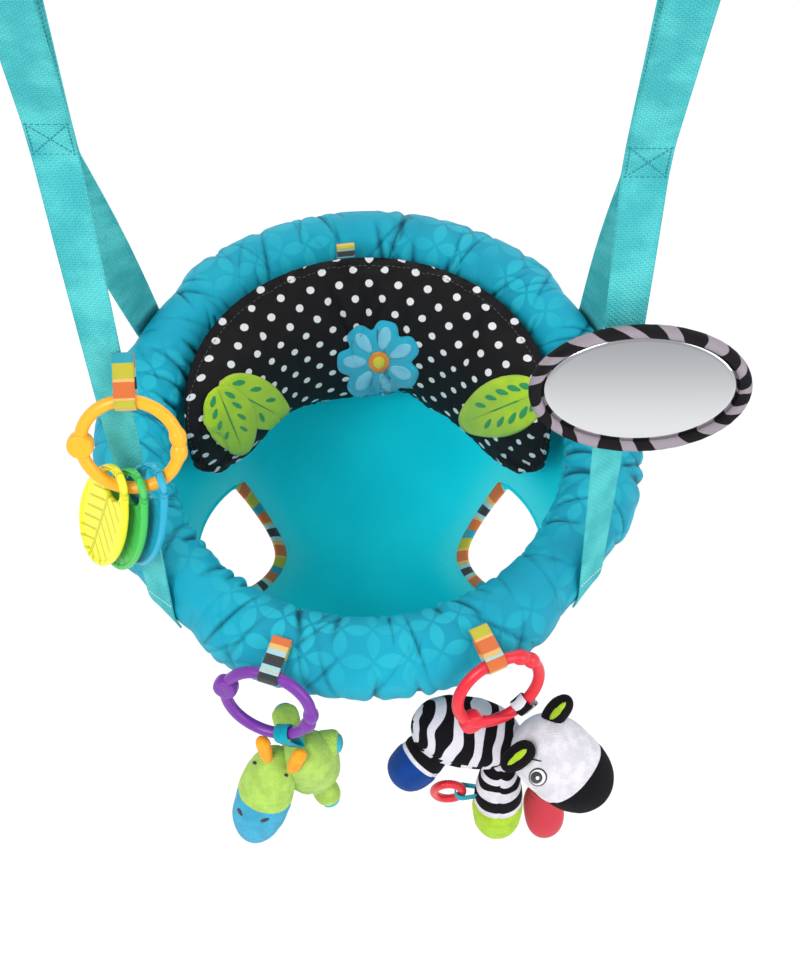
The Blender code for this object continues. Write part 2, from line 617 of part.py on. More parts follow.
def strap_stations(side):
    """One length of webbing: front leg up, over the spreader bar, and back leg down."""
    top_x = side * STRAP_SPREAD
    over = (BAR_RADIUS + GAP) / math.cos(math.pi / 2 / ARCH_STEPS) + CLOTH / 2
    layer = (CLOTH + GAP) / 2
    bar = Y_AXIS * -SEAT_BALANCE
    x, middle = CROSS_BOX_AT[side]
    box_low, box_high = middle - CROSS_BOX_LENGTH / 2, middle + CROSS_BOX_LENGTH / 2
    legs = []
    for facing, azimuth in ((-1, STRAP_FRONT_AZIMUTH[side]), (1, STRAP_BACK_AZIMUTH[side])):
        face = Y_AXIS * facing
        start = Vector((x, facing * layer, box_low))
        ring_end = tuck_stations(azimuth, start)
        touch, touch_face = ring_end[0]
        leg = [(point, out) for point, out in reversed(ring_end)]
        for i in range(1, 8):
            t = i / 8
            leg.append((touch.lerp(start, t), touch_face.lerp(face, t).normalized()))
        leg += [(start, face), (Vector((x, facing * layer, box_high)), face)]
        above = Vector((x, facing * layer, box_high)).lerp(Vector((top_x, facing * over, STRAP_RISE)) + bar, 0.5)
        leg.append((above, face))
        legs.append(leg)
    arch = []
    for i in range(ARCH_STEPS + 1):
        turn = math.pi * i / ARCH_STEPS
        face = -Y_AXIS * math.cos(turn) + Z_AXIS * math.sin(turn)
        arch.append((Vector((top_x, 0, STRAP_RISE)) + bar + face * over, face))
    front, back = legs
    return front + arch + list(reversed(back))


def strap_spot(side, height):
    """Point, outward face and direction of a front leg of the webbing at a height."""
    stations = strap_stations(side)
    front = stations[: len(stations) // 2]
    low = max((s for s in front if s[0].z < height), key=lambda s: s[0].z)
    high = min((s for s in front if s[0].z >= height), key=lambda s: s[0].z)
    share = (height - low[0].z) / (high[0].z - low[0].z)
    return low[0].lerp(high[0], share), low[1].lerp(high[1], share).normalized(), (high[0] - low[0]).normalized()


def webbing(materials, seat):
    """Left and right webbing."""
    for name, side in (("strap_left", -1), ("strap_right", 1)):
        add(name, strip(strap_stations(side), STRAP_WIDTH, CLOTH), materials["webbing"], SEAT, seat)


# Padded ring and its hoop

def padded_ring(materials, seat):
    """Hoop inside a padded cover that is open along a slit underneath."""
    circle = [heading(360 * i / RING_SIDES) * RING_RADIUS for i in range(RING_SIDES)]
    mesh = planar_tube(circle, Z_AXIS, [HOOP_RADIUS] * len(circle), closed=True, count=HOOP_SIDES)
    add("ring_hoop", mesh, materials["hoop"], SEAT, seat)
    rings = []
    bore = HOOP_RADIUS + GAP
    slit_deg = SLIT_DEG * PAD_RADIUS / bore
    for k in range(RING_SIDES):
        azimuth = 360 * k / RING_SIDES
        out = heading(azimuth)
        ring = []
        for i in range(PAD_SIDES + 1):
            ring.append(pad_point(azimuth, pad_angle(i))[0])
        for i in range(BORE_SIDES + 1):
            slit_turn = {0: -slit_deg, BORE_SIDES: slit_deg}.get(i, 0)
            turn = math.radians(270 - 360 * i / BORE_SIDES + slit_turn)
            ring.append(out * RING_RADIUS + (out * math.cos(turn) + Z_AXIS * math.sin(turn)) * bore)
        rings.append(ring)
    add("ring_pad", loft(rings, closed=True), materials["ring_cloth"], SEAT, seat)


# Sling seat

RIM_POINT, RIM_FACE = pad_point(0, pad_angle(SLING_SEAM), GAP + CLOTH / 2)
SLING_RADIUS, SLING_TOP = RIM_POINT.x, RIM_POINT.z


def sling_profile(turn):
    """Radius and height of the sling's middle at a turn of 0 at its rim and a quarter at its lowest point."""
    radius = SLING_RADIUS * math.cos(turn) ** (2 / SLING_SHARE_LOW)
    return radius, SLING_TOP - SLING_DEPTH * math.sin(turn) ** (2 / SLING_SHARE_TOP)


def sling_knot(k, i):
    """Point of the sling's middle surface at one station and side, and the way into the seat from there."""
    turn = math.pi / 2 * (1 - k / SLING_STATIONS)
    radius, height = sling_profile(turn)
    ahead, below = sling_profile(turn + 0.01)
    out = heading(360 * i / RING_SIDES)
    run = Vector((ahead - radius, below - height)).normalized()
    return out * radius + Z_AXIS * height, out * run.y - Z_AXIS * run.x


def sling_inside(azimuth_deg, turn_share):
    """Point on the sling's inner faces and the way into the seat; the share is 0 at the rim, 1 at the bottom."""
    across = (azimuth_deg % 360) / 360 * RING_SIDES
    along = (1 - min(max(turn_share, 0), 0.99)) * SLING_STATIONS
    i, k = int(across), min(max(int(along), 1), SLING_STATIONS - 1)
    corners = []
    for row in (k, k + 1):
        for column in (i, i + 1):
            point, face = sling_knot(row, column)
            corners.append(point + face * (CLOTH / 2))
    low = corners[0].lerp(corners[1], across - i)
    high = corners[2].lerp(corners[3], across - i)
    face = (corners[1] - corners[0]).cross(corners[2] - corners[0]).normalized()
    point = low.lerp(high, along - k)
    return point, face if face.dot(point) < 0 else -face


def leg_hole_edge(side, growth, angle):
    """Point on the sling's inner faces where a leg hole, grown a little, ends at an angle round the hole."""
    centre = Vector((side * LEG_HOLE_AT.x, LEG_HOLE_AT.y, LEG_HOLE_AT.z))
    middle = math.degrees(math.atan2(centre.y, centre.x))
    radii = LEG_HOLE + Vector((growth, growth, growth))
    near, far = 0.0, 1.0
    for _ in range(30):
        reach = (near + far) / 2
        share = LEG_HOLE_TURN_SHARE + reach * math.sin(angle)
        point, face = sling_inside(middle + 90 * reach * math.cos(angle), share)
        away = point - centre
        if sum((away[i] / radii[i]) ** 2 for i in range(3)) < 1:
            near = reach
        else:
            far = reach
    return point, face


def sling(materials, seat):
    """Basket of cloth with a hole for each leg, and a striped binding round each hole."""
    rings, inner = [], []
    for k in range(1, SLING_STATIONS + 1):
        knots = [sling_knot(k, i) for i in range(RING_SIDES)]
        rings.append([point - face * (CLOTH / 2) for point, face in knots])
        inner.insert(0, [point + face * (CLOTH / 2) for point, face in knots])
    bottom = Z_AXIS * (SLING_TOP - SLING_DEPTH)
    lift = Z_AXIS * (CLOTH / 2)
    mesh = loft(rings + inner, start=bottom - lift, end=bottom + lift)
    seat_sling = add("seat_sling", mesh, materials["sling_cloth"], SEAT, seat)
    for name, side in (("leg_binding_left", -1), ("leg_binding_right", 1)):
        centre = Vector((side * LEG_HOLE_AT.x, LEG_HOLE_AT.y, LEG_HOLE_AT.z))
        ball = []
        for k in range(1, 12):
            tilt = math.pi * k / 12 - math.pi / 2
            flat = math.cos(tilt)
            middle = centre + Z_AXIS * (LEG_HOLE.z * math.sin(tilt))
            ball.append(round_ring(middle, X_AXIS, Y_AXIS, LEG_HOLE.x * flat, LEG_HOLE.y * flat, 28))
        tall = Z_AXIS * LEG_HOLE.z
        shape(seat_sling, loft(ball, start=centre - tall, end=centre + tall), "DIFFERENCE")
        rings = []
        for i in range(40):
            (near, near_face), (far, far_face) = (
                leg_hole_edge(side, growth, math.tau * i / 40)
                for growth in (-BINDING_LAP, BINDING_WIDTH - BINDING_LAP)
            )
            top = GAP + BINDING_THICK
            rings.append([near + near_face * GAP, far + far_face * GAP, far + far_face * top, near + near_face * top])
        add(name, loft(rings, closed=True), materials["stripe"], SEAT, seat)


# Back pillow

def back_pillow(materials, seat):
    """Crescent cushion along the back wall of the seat, flat behind and crowned in front."""
    stations = 22
    slope = (PILLOW_TOP - PILLOW_LOW).normalized()
    height = (PILLOW_TOP - PILLOW_LOW).length
    middle = PILLOW_TOP.lerp(PILLOW_LOW, 0.5)
    rings = []
    for k in range(1, stations):
        share = (1 - math.cos(math.pi * k / stations)) / 2
        azimuth = PILLOW_FROM_DEG + (PILLOW_TO_DEG - PILLOW_FROM_DEG) * share
        fade = (1 - abs(2 * share - 1) ** PILLOW_END_SHARE) ** 0.5
        out = heading(azimuth)
        ring = []
        for i in range(12):
            turn = math.tau * i / 12
            along = height / 2 * fade * math.copysign(abs(math.cos(turn)) ** PILLOW_CREASE_SHARE, math.cos(turn))
            plump = PILLOW_THICK if math.sin(turn) > 0 else PILLOW_BACK * (1 - math.cos(turn)) / 2
            depth = math.sin(turn) * plump * fade
            radius = middle.x + slope.x * along - slope.y * depth
            level = middle.y + slope.y * along + slope.x * depth
            ring.append(out * radius + Z_AXIS * level)
        rings.append(ring)
    ends = []
    for azimuth in (PILLOW_FROM_DEG, PILLOW_TO_DEG):
        ends.append(heading(azimuth) * (middle.x - PILLOW_THICK / 4) + Z_AXIS * middle.y)
    mesh = loft(rings, start=ends[0], end=ends[1])
    add("back_pillow", mesh, materials["pillow_cloth"], SEAT, seat)
    out = heading(PILLOW_LOOP_DEG)
    top = out * PILLOW_TOP.x + Z_AXIS * (PILLOW_TOP.y - GAP)
    tip = top + Z_AXIS * RIBBON_WIDTH
    mesh = band(top + Z_AXIS * LOOP_FOLD, LOOP_FOLD / 2, tip, LOOP_FOLD, Z_AXIS.cross(out), RIBBON_WIDTH, RIBBON)
    add("pillow_loop", mesh, materials["stripe"], SEAT, seat)


# Links

def link_frame(side):
    """Centre, outward, sideways and upward directions of the link on one front loop."""
    out = heading(FRONT_LOOP_DEG[side])
    across = Z_AXIS.cross(out)
    lean = math.radians(LINK_LEAN_DEG)
    up = Z_AXIS * math.cos(lean) - out * math.sin(lean)
    centre = out * (RING_RADIUS + PAD_RADIUS + LINK_STAND_OFF) + Z_AXIS * LINK_DROP
    return centre, across, up


def link_spot(centre, across, up, angle_deg):
    """Point on a link's bar, and the way the bar runs there."""
    turn = math.radians(angle_deg)
    spot = centre + (across * math.cos(turn) + up * math.sin(turn)) * LINK_RADIUS
    return spot, up * math.cos(turn) - across * math.sin(turn)


def link(name, centre, across, up, roll_deg, material, parent, tongue=False):
    """Open plastic ring with two clasp beads and a ridged boss opposite them."""
    steps = 28
    first, last = LINK_GAP_DEG, 360 - LINK_GAP_DEG
    points, radii = [], []
    for i in range(steps + 1):
        angle = first + (last - first) * i / steps
        nearest = min(angle - first, last - angle)
        bump = max(0, 1 - ((nearest - BEAD_DEG * 0.6) / BEAD_DEG) ** 2)
        points.append(link_spot(centre, across, up, angle + roll_deg)[0])
        radii.append(LINK_BAR + (LINK_BEAD - LINK_BAR) * bump)
    normal = across.cross(up)
    piece = add(name, planar_tube(points, normal, radii, count=8), material, SEAT, parent)
    boss, run = link_spot(centre, across, up, 180 + roll_deg)
    half = normal * (LINK_BOSS_THICK / 2)
    shape(piece, rod(boss - half, boss + half, LINK_BOSS, 16), "UNION")
    if tongue:
        tip = boss + (across * 0.95 - up * 0.1) * LINK_RADIUS + normal * (LINK_BAR * 2)
        shape(piece, swell(boss, tip, LINK_BAR * 1.5, LINK_BAR * 0.25, stations=6, count=8), "UNION")
    return piece


def ribbon_loop(name, base, spot, axis, material, parent):
    """Sewn ribbon that stands on base and goes round a link's bar at spot."""
    wrap = LINK_BAR + LOOP_CLEAR + RIBBON / 2
    mesh = band(base, LOOP_FOLD, spot, wrap, axis, RIBBON_WIDTH, RIBBON)
    return add(name, mesh, material, SEAT, parent)


def leaf(name, eye_centre, across, down, material, parent):
    """Leaf teether: raised rim, thin web and a round eye for the link."""
    normal = across.cross(down)
    centre = eye_centre + down * (LEAF_LENGTH * (0.5 - LEAF_EYE_SHARE))
    steps = 18
    rings = []
    layers = [(0.78, LEAF_WEB / 2), (0.84, LEAF_THICK / 2), (0.94, LEAF_THICK / 2), (1.0, LEAF_THICK / 5)]
    for sign in (-1, 1):
        for scale, rise in layers if sign < 0 else reversed(layers):
            ring = []
            for i in range(steps):
                turn = math.tau * i / steps
                x = LEAF_WIDTH / 2 * math.sin(turn) * (1 - 0.10 * math.cos(turn))
                y = -LEAF_LENGTH / 2 * math.cos(turn)
                shrink = 1 - (1 - scale) * LEAF_WIDTH / LEAF_LENGTH
                ring.append(centre + across * (x * scale) + down * (y * shrink) + normal * (sign * rise))
            rings.append(ring)
    piece = add(name, loft(rings), material, SEAT, parent)
    reach = normal * (LEAF_THICK + OVERRUN)
    shape(piece, rod(eye_centre - reach, eye_centre + reach, LEAF_EYE, 18), "DIFFERENCE")
    return piece


def side_link_frame():
    """Centre and upward direction of the yellow link, off the left front leg of the webbing."""
    point, face, run = strap_spot(-1, SIDE_LINK_HEIGHT)
    lean = math.radians(SIDE_LINK_LEAN_DEG)
    centre = point + X_AXIS * SIDE_LINK_ALONG - Y_AXIS * SIDE_LINK_OFF
    return centre, Z_AXIS * math.cos(lean) + Y_AXIS * math.sin(lean)


def side_link(materials, link_pivot, seat):
    """Yellow link on the left strap, with its loop and three leaf teethers."""
    centre, up = side_link_frame()
    top, run = link_spot(centre, X_AXIS, up, 90)
    link("link_yellow", centre, X_AXIS, up, 0, materials["link_yellow"], link_pivot)
    point, face, strap_run = strap_spot(-1, top.z + RIBBON_WIDTH)
    strap_across = face.cross(strap_run).normalized()
    base = point + strap_across * ((top.x - point.x) / strap_across.x)
    base += face * (CLOTH / 2 + GAP + LOOP_FOLD + RIBBON / 2)
    ribbon_loop("loop_strap_left", base, top, X_AXIS, materials["stripe"], seat)
    turned_by = math.radians(LEAF_YAW_DEG)
    tilt = math.radians(LEAF_LEAN_DEG)
    across = X_AXIS * math.cos(turned_by) - Y_AXIS * math.sin(turned_by)
    flat_out = -X_AXIS * math.sin(turned_by) - Y_AXIS * math.cos(turned_by)
    down = -Z_AXIS * math.cos(tilt) + flat_out * math.sin(tilt)
    for index, colour in enumerate(("yellow", "green", "blue")):
        shift = LEAF_PITCH * (index - 1)
        angle = -90 + math.degrees(math.asin(shift / LINK_RADIUS))
        spot, run = link_spot(centre, X_AXIS, up, angle)
        eye = spot + down * LEAF_SAG[colour]
        swing = pivot(f"leaf_{colour}_pivot", SEAT + eye)
        leaf(f"leaf_{colour}", eye, across, down, materials[f"leaf_{colour}"], swing)
    print("leaf swing axis", [round(v, 5) for v in across.cross(down)])


# Mirror

def mirror(materials, seat):
    """Oval mirror in a padded frame that tilts on a band round the right front leg of the webbing."""
    spot, face, run = strap_spot(1, MIRROR_HEIGHT)
    across_strap = face.cross(run).normalized()
    up = Vector((0, run.y, run.z)).normalized()
    normal = X_AXIS.cross(up)
    side = X_AXIS
    half = across_strap * (STRAP_WIDTH / 2)
    wrap = CLOTH / 2 + MIRROR_BAND_CLEAR + RIBBON / 2
    mesh = band(spot - half, wrap, spot + half, wrap, run, MIRROR_BAND_WIDTH, RIBBON, steps=5)
    add("mirror_band", mesh, materials["webbing"], SEAT, seat)

    turn_at = spot + normal * (wrap + RIBBON / 2 + GAP + MIRROR_TAB_LIFT)
    swing = pivot("mirror_pivot", SEAT + turn_at)
    print("axis", [round(value, 5) for value in side])
    back = spot + normal * MIRROR_STAND_OFF + side * MIRROR_SHIFT
    inset = MIRROR_RIM / 2
    rings = []
    for shrink, rise in (
        (MIRROR_RIM * 3, 0.0),
        (inset, 0.0),
        (0.0, MIRROR_THICK * 0.35),
        (0.0, MIRROR_THICK * 0.65),
        (inset, MIRROR_THICK),
        (MIRROR_RIM, MIRROR_THICK - MIRROR_RECESS / 3),
        (MIRROR_RIM, MIRROR_THICK - MIRROR_RECESS - MIRROR_SHEET),
    ):
        width, height = MIRROR_HALF_WIDTH - shrink, MIRROR_HALF_HEIGHT - shrink
        rings.append(round_ring(back + normal * rise, side, up, width, height, 32))
    frame = add("mirror_frame", loft(rings), materials["mirror_frame"], SEAT, swing)
    inside = back + normal * (MIRROR_THICK * 0.3)
    tab = [flat_ring(point, side, up, MIRROR_TAB_WIDTH, MIRROR_TAB_HEIGHT) for point in (turn_at, inside)]
    shape(frame, loft(tab), "UNION")
    floor = back + normal * (MIRROR_THICK - MIRROR_RECESS - MIRROR_SHEET + GAP)
    width, height = MIRROR_HALF_WIDTH - MIRROR_RIM - GAP, MIRROR_HALF_HEIGHT - MIRROR_RIM - GAP
    sheet = [round_ring(floor + normal * rise, side, up, width, height, 32) for rise in (0.0, MIRROR_SHEET)]
    add("mirror_sheet", loft(sheet), materials["mirror"], SEAT, swing)


# Plush toys

def toy_point(origin, share):
    """Place given as shares of a toy's span from the point that it hangs on."""
    return origin + Vector(share) * TOY_SPAN


def limb_form(origin, shares):
    """Ends and radii of a limb, as swell takes them."""
    first, last, radius_share, foot_share = shares
    return toy_point(origin, first), toy_point(origin, last), radius_share * TOY_SPAN, foot_share * TOY_SPAN


def limb(name, origin, first_share, last_share, radius_share, foot_share, material, parent, cutters):
    """Stuffed limb, cut back where the larger pieces in cutters fill the same place."""
    first, last = toy_point(origin, first_share), toy_point(origin, last_share)
    mesh = swell(first, last, radius_share * TOY_SPAN, foot_share * TOY_SPAN)
    piece = add(name, mesh, material, SEAT, parent)
    for cutter in cutters:
        shape(piece, swell(*cutter, grow=GAP * 2), "DIFFERENCE")
    return piece


def bar_loop(name, bar_spot, bar_run, drop, material, parent, cutters):
    """Cloth loop that hangs square to a link's bar and goes down to the seams of the pieces in cutters."""
    wrap = LINK_BAR + RIBBON_CLEAR + RIBBON / 2
    down = (bar_run * bar_run.z - Z_AXIS).normalized()
    mesh = band(bar_spot + down * drop, LOOP_FOLD, bar_spot, wrap, bar_run, TOY_LOOP_WIDTH, RIBBON)
    piece = add(name, mesh, material, SEAT, parent)
    for cutter in cutters:
        shape(piece, swell(*cutter, grow=GAP), "DIFFERENCE")


def giraffe(materials, spot, run, parent):
    """Plush giraffe that hangs upright with its head forward."""
    body = (toy_point(spot, (0.09, 0.02, -0.21)), toy_point(spot, (0.16, 0.12, -1.22)), 0.021, 0.023)
    head = (toy_point(spot, (-0.06, -0.06, -0.36)), toy_point(spot, (-0.30, -0.42, -1.10)), 0.019, 0.021)
    add("giraffe_body", swell(*body), materials["giraffe"], SEAT, parent)
    piece = add("giraffe_head", swell(*head), materials["giraffe"], SEAT, parent)
    shape(piece, swell(*body, grow=GAP), "DIFFERENCE")
    legs = {
        "giraffe_leg_fore_left": ((0.16, 0.10, -0.46), (0.40, 0.08, -0.44)),
        "giraffe_leg_hind_left": ((0.18, 0.08, -1.00), (0.30, -0.10, -1.30)),
        "giraffe_leg_fore_right": ((0.02, 0.16, -0.46), (-0.06, 0.40, -0.50)),
        "giraffe_leg_hind_right": ((0.10, 0.18, -1.05), (0.02, 0.38, -1.30)),
    }
    for name, (first, last) in legs.items():
        limb(name, spot, first, last, 0.09, 0.11, materials["giraffe"], parent, [body, head])
    horns = {
        "giraffe_horn_left": ((-0.11, -0.10, -0.44), (-0.17, -0.14, -0.16)),
        "giraffe_horn_right": ((0.02, -0.12, -0.46), (0.12, -0.16, -0.20)),
    }
    for name, (first, last) in horns.items():
        limb(name, spot, first, last, 0.035, 0.045, materials["horn"], parent, [body, head])
    bar_loop("giraffe_loop", spot, run, TOY_LOOP_DROP, materials["teal_cloth"], parent, [body])


def zebra(materials, spot, run, parent):
    """Plush zebra that lies along the ring's front with its head to the right."""
    body = (toy_point(spot, (-0.78, 0.00, -0.38)), toy_point(spot, (0.02, -0.08, -0.54)), 0.026, 0.026)
    head = (toy_point(spot, (0.06, -0.04, -0.24)), toy_point(spot, (0.66, -0.42, -0.72)), 0.029, 0.026)
    add("zebra_body", swell(*body), materials["zebra"], SEAT, parent)
    piece = add("zebra_head", swell(*head), materials["zebra"], SEAT, parent)
    shape(piece, swell(*body, grow=GAP), "DIFFERENCE")
    legs = {
        "zebra_leg_fore_near": ((-0.12, -0.14, -0.62), (-0.12, -0.44, -1.50), 0.13, 0.20),
        "zebra_leg_hind_near": ((-0.52, -0.04, -0.50), (-0.90, -0.32, -0.78), 0.15, 0.20),
        "zebra_leg_fore_far": ((-0.06, 0.00, -0.54), (0.26, -0.02, -1.42), 0.12, 0.16),
        "zebra_leg_hind_far": ((-0.58, 0.10, -0.56), (-0.52, 0.06, -1.20), 0.12, 0.16),
    }
    for name, (first, last, radius, foot) in legs.items():
        limb(name, spot, first, last, radius, foot, materials["zebra"], parent, [body, head])
    ears = {
        "zebra_ear_far": ((0.24, -0.10, -0.34), (0.30, -0.12, -0.02)),
        "zebra_ear_near": ((0.18, -0.16, -0.40), (-0.04, -0.36, -0.52)),
    }
    for name, (first, last) in ears.items():
        limb(name, spot, first, last, 0.07, 0.06, materials["zebra"], parent, [body, head])
    bar_loop("zebra_loop", spot, run, TOY_LOOP_DROP, materials["zebra"], parent, [head])
    fore_far, fore_near = limb_form(spot, legs["zebra_leg_fore_far"]), limb_form(spot, legs["zebra_leg_fore_near"])
    leaf_ends = (toy_point(spot, (0.22, -0.10, -1.36)), toy_point(spot, (0.30, -0.44, -1.76)))
    mesh = swell(*leaf_ends, TEETHER_LEAF, TEETHER_LEAF, flat=TEETHER_FLAT_SHARE)
    piece = add("zebra_leaf_teether", mesh, materials["link_red"], SEAT, parent)
    shape(piece, swell(*fore_far, grow=GAP * 2), "DIFFERENCE")
    centre = toy_point(spot, (-0.50, -0.30, -1.04))
    circle = [
        centre + X_AXIS * (TEETHER_RING * TEETHER_RING_SHARE * math.cos(a)) + Z_AXIS * (TEETHER_RING * math.sin(a))
        for a in [math.tau * i / 20 for i in range(20)]
    ]
    mesh = planar_tube(circle, Y_AXIS, [TEETHER_BAR] * len(circle), closed=True)
    add("zebra_ring_teether", mesh, materials["link_red"], SEAT, parent)
    bar = centre + X_AXIS * (TEETHER_RING * TEETHER_RING_SHARE)
    knee = fore_near[0].lerp(fore_near[1], (fore_near[0].z - centre.z) / (fore_near[0].z - fore_near[1].z))
    knee.y = bar.y
    mesh = band(knee, LOOP_FOLD / 2, bar, TEETHER_BAR + RIBBON_CLEAR + RIBBON / 2, Z_AXIS, TAG_WIDTH, RIBBON)
    tag = add("zebra_tag", mesh, materials["teal_cloth"], SEAT, parent)
    shape(tag, swell(*fore_near, grow=GAP * 2), "DIFFERENCE")


def front_toys(materials, seat):
    """Loops, links and plush toys on the front of the ring."""
    print("front links")
    for side, colour, roll in ((-1, "purple", -8), (1, "red", 42)):
        centre, across, up = link_frame(side)
        top, top_run = link_spot(centre, across, up, 90)
        link_pivot = pivot(f"link_{colour}_pivot", SEAT + top)
        print("axis", [round(v, 5) for v in across])
        material = materials[f"link_{colour}"]
        link(f"link_{colour}", centre, across, up, roll, material, link_pivot, tongue=side > 0)
        base, face = pad_point(FRONT_LOOP_DEG[side], pad_angle(FRONT_LOOP_SEAM), GAP + LOOP_FOLD + RIBBON / 2)
        name = "loop_front_left" if side < 0 else "loop_front_right"
        ribbon_loop(name, base, top, across, materials["stripe"], seat)
        spot, run = link_spot(centre, across, up, -90 + TOY_LOOP_DEG[side])
        toy_pivot = pivot("giraffe_pivot" if side < 0 else "zebra_pivot", SEAT + spot)
        print("axis", [round(v, 5) for v in run])
        (giraffe if side < 0 else zebra)(materials, spot, run, toy_pivot)


def build():
    """Whole jumper."""
    clear()
    colours = {
        "clamp": ((0.80, 0.80, 0.78), 0.45),
        "steel": ((0.62, 0.63, 0.65), 0.30, 1.0),
        "rubber": ((0.05, 0.05, 0.05), 0.85),
        "webbing": ((0.07, 0.52, 0.54), 0.85),
        "sleeve": ((0.00, 0.36, 0.46), 0.80),
        "wood": ((0.55, 0.38, 0.21), 0.60),
        "hoop": ((0.15, 0.15, 0.16), 0.50),
        "ring_cloth": ((0.00, 0.40, 0.52), 0.45),
        "sling_cloth": ((0.00, 0.52, 0.68), 0.60),
        "stripe": ((0.90, 0.35, 0.05), 0.70),
        "pillow_cloth": ((0.02, 0.02, 0.02), 0.80),
        "link_yellow": ((0.95, 0.43, 0.02), 0.35),
        "link_purple": ((0.16, 0.02, 0.30), 0.35),
        "link_red": ((0.65, 0.01, 0.03), 0.35),
        "leaf_yellow": ((0.75, 0.74, 0.02), 0.40),
        "leaf_green": ((0.04, 0.46, 0.08), 0.40),
        "leaf_blue": ((0.02, 0.35, 0.52), 0.40),
        "mirror_frame": ((0.37, 0.33, 0.37), 0.80),
        "mirror": ((0.90, 0.90, 0.90), 0.05, 1.0),
        "giraffe": ((0.38, 0.60, 0.10), 0.95),
        "horn": ((0.95, 0.37, 0.03), 0.95),
        "teal_cloth": ((0.00, 0.40, 0.52), 0.80),
        "zebra": ((0.75, 0.73, 0.80), 0.95),
    }
    materials = {name: finish(name, *values) for name, values in colours.items()}

    root = pivot("door_clamp", Vector((0, 0, 0)))
    rear = pivot("clamp_pivot", HANG + Z_AXIS * PIVOT_Z)
    hanger = pivot("swing_pivot", HANG + Z_AXIS * HANG_Z)
    adjuster = pivot("adjuster_slide", HANG + Z_AXIS * LOWER_BAR_Z)
    seat = pivot("seat_slide", SEAT)
    clamp(materials, root, rear)
    suspension(materials, hanger, adjuster)
    spreader(materials, seat)
    webbing(materials, seat)
    padded_ring(materials, seat)
    sling(materials, seat)
    back_pillow(materials, seat)

    centre, up = side_link_frame()
    side_link(materials, pivot("link_yellow_pivot", SEAT + centre + up * LINK_RADIUS), seat)

    mirror(materials, seat)
    front_toys(materials, seat)


build()
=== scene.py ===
# %% [markdown]
# # A baby doorway jumper
# A padded ring seat hangs on four legs of webbing under a wooden spreader bar, a sleeved spring and a door
# clamp. The imported model gives the frame: every piece below is made in its coordinates, in metres, and
# rides on one of its bodies or lies between two. This first cell loads that frame and keeps its box.

# %% Load the frame
import math

import bmesh
import bpy
import numpy as np
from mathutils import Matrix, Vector
from mathutils.bvhtree import BVHTree
from mathutils.noise import noise


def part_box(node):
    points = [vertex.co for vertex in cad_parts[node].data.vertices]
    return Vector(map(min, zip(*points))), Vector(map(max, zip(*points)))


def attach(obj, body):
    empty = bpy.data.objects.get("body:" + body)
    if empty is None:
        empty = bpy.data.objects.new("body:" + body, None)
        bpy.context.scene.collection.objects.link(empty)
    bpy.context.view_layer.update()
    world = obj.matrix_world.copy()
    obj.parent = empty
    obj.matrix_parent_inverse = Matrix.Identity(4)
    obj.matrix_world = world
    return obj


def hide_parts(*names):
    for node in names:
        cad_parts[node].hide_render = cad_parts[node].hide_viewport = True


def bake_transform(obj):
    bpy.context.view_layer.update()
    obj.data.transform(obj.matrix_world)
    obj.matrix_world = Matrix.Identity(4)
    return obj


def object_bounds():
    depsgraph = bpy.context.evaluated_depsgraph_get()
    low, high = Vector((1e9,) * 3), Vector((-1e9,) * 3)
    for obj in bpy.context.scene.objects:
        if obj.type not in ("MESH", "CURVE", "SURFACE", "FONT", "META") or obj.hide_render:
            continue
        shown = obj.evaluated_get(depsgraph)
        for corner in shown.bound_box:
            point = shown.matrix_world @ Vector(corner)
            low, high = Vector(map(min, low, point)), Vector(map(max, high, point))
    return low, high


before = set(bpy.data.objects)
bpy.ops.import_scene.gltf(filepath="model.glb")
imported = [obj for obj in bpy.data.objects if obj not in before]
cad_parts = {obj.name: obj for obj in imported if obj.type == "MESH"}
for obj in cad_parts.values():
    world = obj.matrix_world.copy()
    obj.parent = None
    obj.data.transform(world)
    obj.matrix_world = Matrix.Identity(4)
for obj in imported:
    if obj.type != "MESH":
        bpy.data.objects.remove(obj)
cad_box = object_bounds()
X_AXIS, Y_AXIS, Z_AXIS = Vector((1, 0, 0)), Vector((0, 1, 0)), Vector((0, 0, 1))
hoop_low, hoop_high = (Vector(corner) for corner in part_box("ring_hoop"))
SEAT = (hoop_low + hoop_high) / 2
print("seat centre", SEAT[:])

# %% [markdown]
# ## Camera
# The photograph looks down steeply into the seat from in front of it. The ring is a circle in space, so its
# outline in the picture gives the camera's tilt and distance. The sensor's width is taken by the long side of
# the portrait frame.

# %% Camera
FRAME_HEIGHT_PX, FOCAL_PX, SENSOR = 978, 1737, 36
CAMERA_FROM_SEAT = Vector((0.0239, -0.6427, 1.1306))
CAMERA_TILT_DEG = 62
camera = bpy.data.objects.new("camera", bpy.data.cameras.new("camera"))
bpy.context.collection.objects.link(camera)
camera.data.sensor_width = SENSOR
camera.data.lens = FOCAL_PX / FRAME_HEIGHT_PX * SENSOR
camera.location = SEAT + CAMERA_FROM_SEAT
camera.rotation_euler = (math.radians(90 - CAMERA_TILT_DEG), 0, 0)
bpy.context.scene.camera = camera
bpy.context.scene.view_settings.view_transform = "Standard"
print("lens", round(camera.data.lens, 2))

# %% [markdown]
# ## Shader groups
# Cloth, webbing, plush and plastic share a few effects, so each effect is one node group with named inputs.
# A pattern that follows the cloth reads the piece's UV map, which is laid out in metres, so its scale is a
# count per metre and stays the same on every piece.

# %% Short ways to write nodes
def linear(red, green, blue):
    """Shader colour for a screen colour given from 0 to 255."""
    found = []
    for channel in (red, green, blue):
        value = channel / 255
        found.append(value / 12.92 if value <= 0.04045 else ((value + 0.055) / 1.055) ** 2.4)
    return (*found, 1.0)


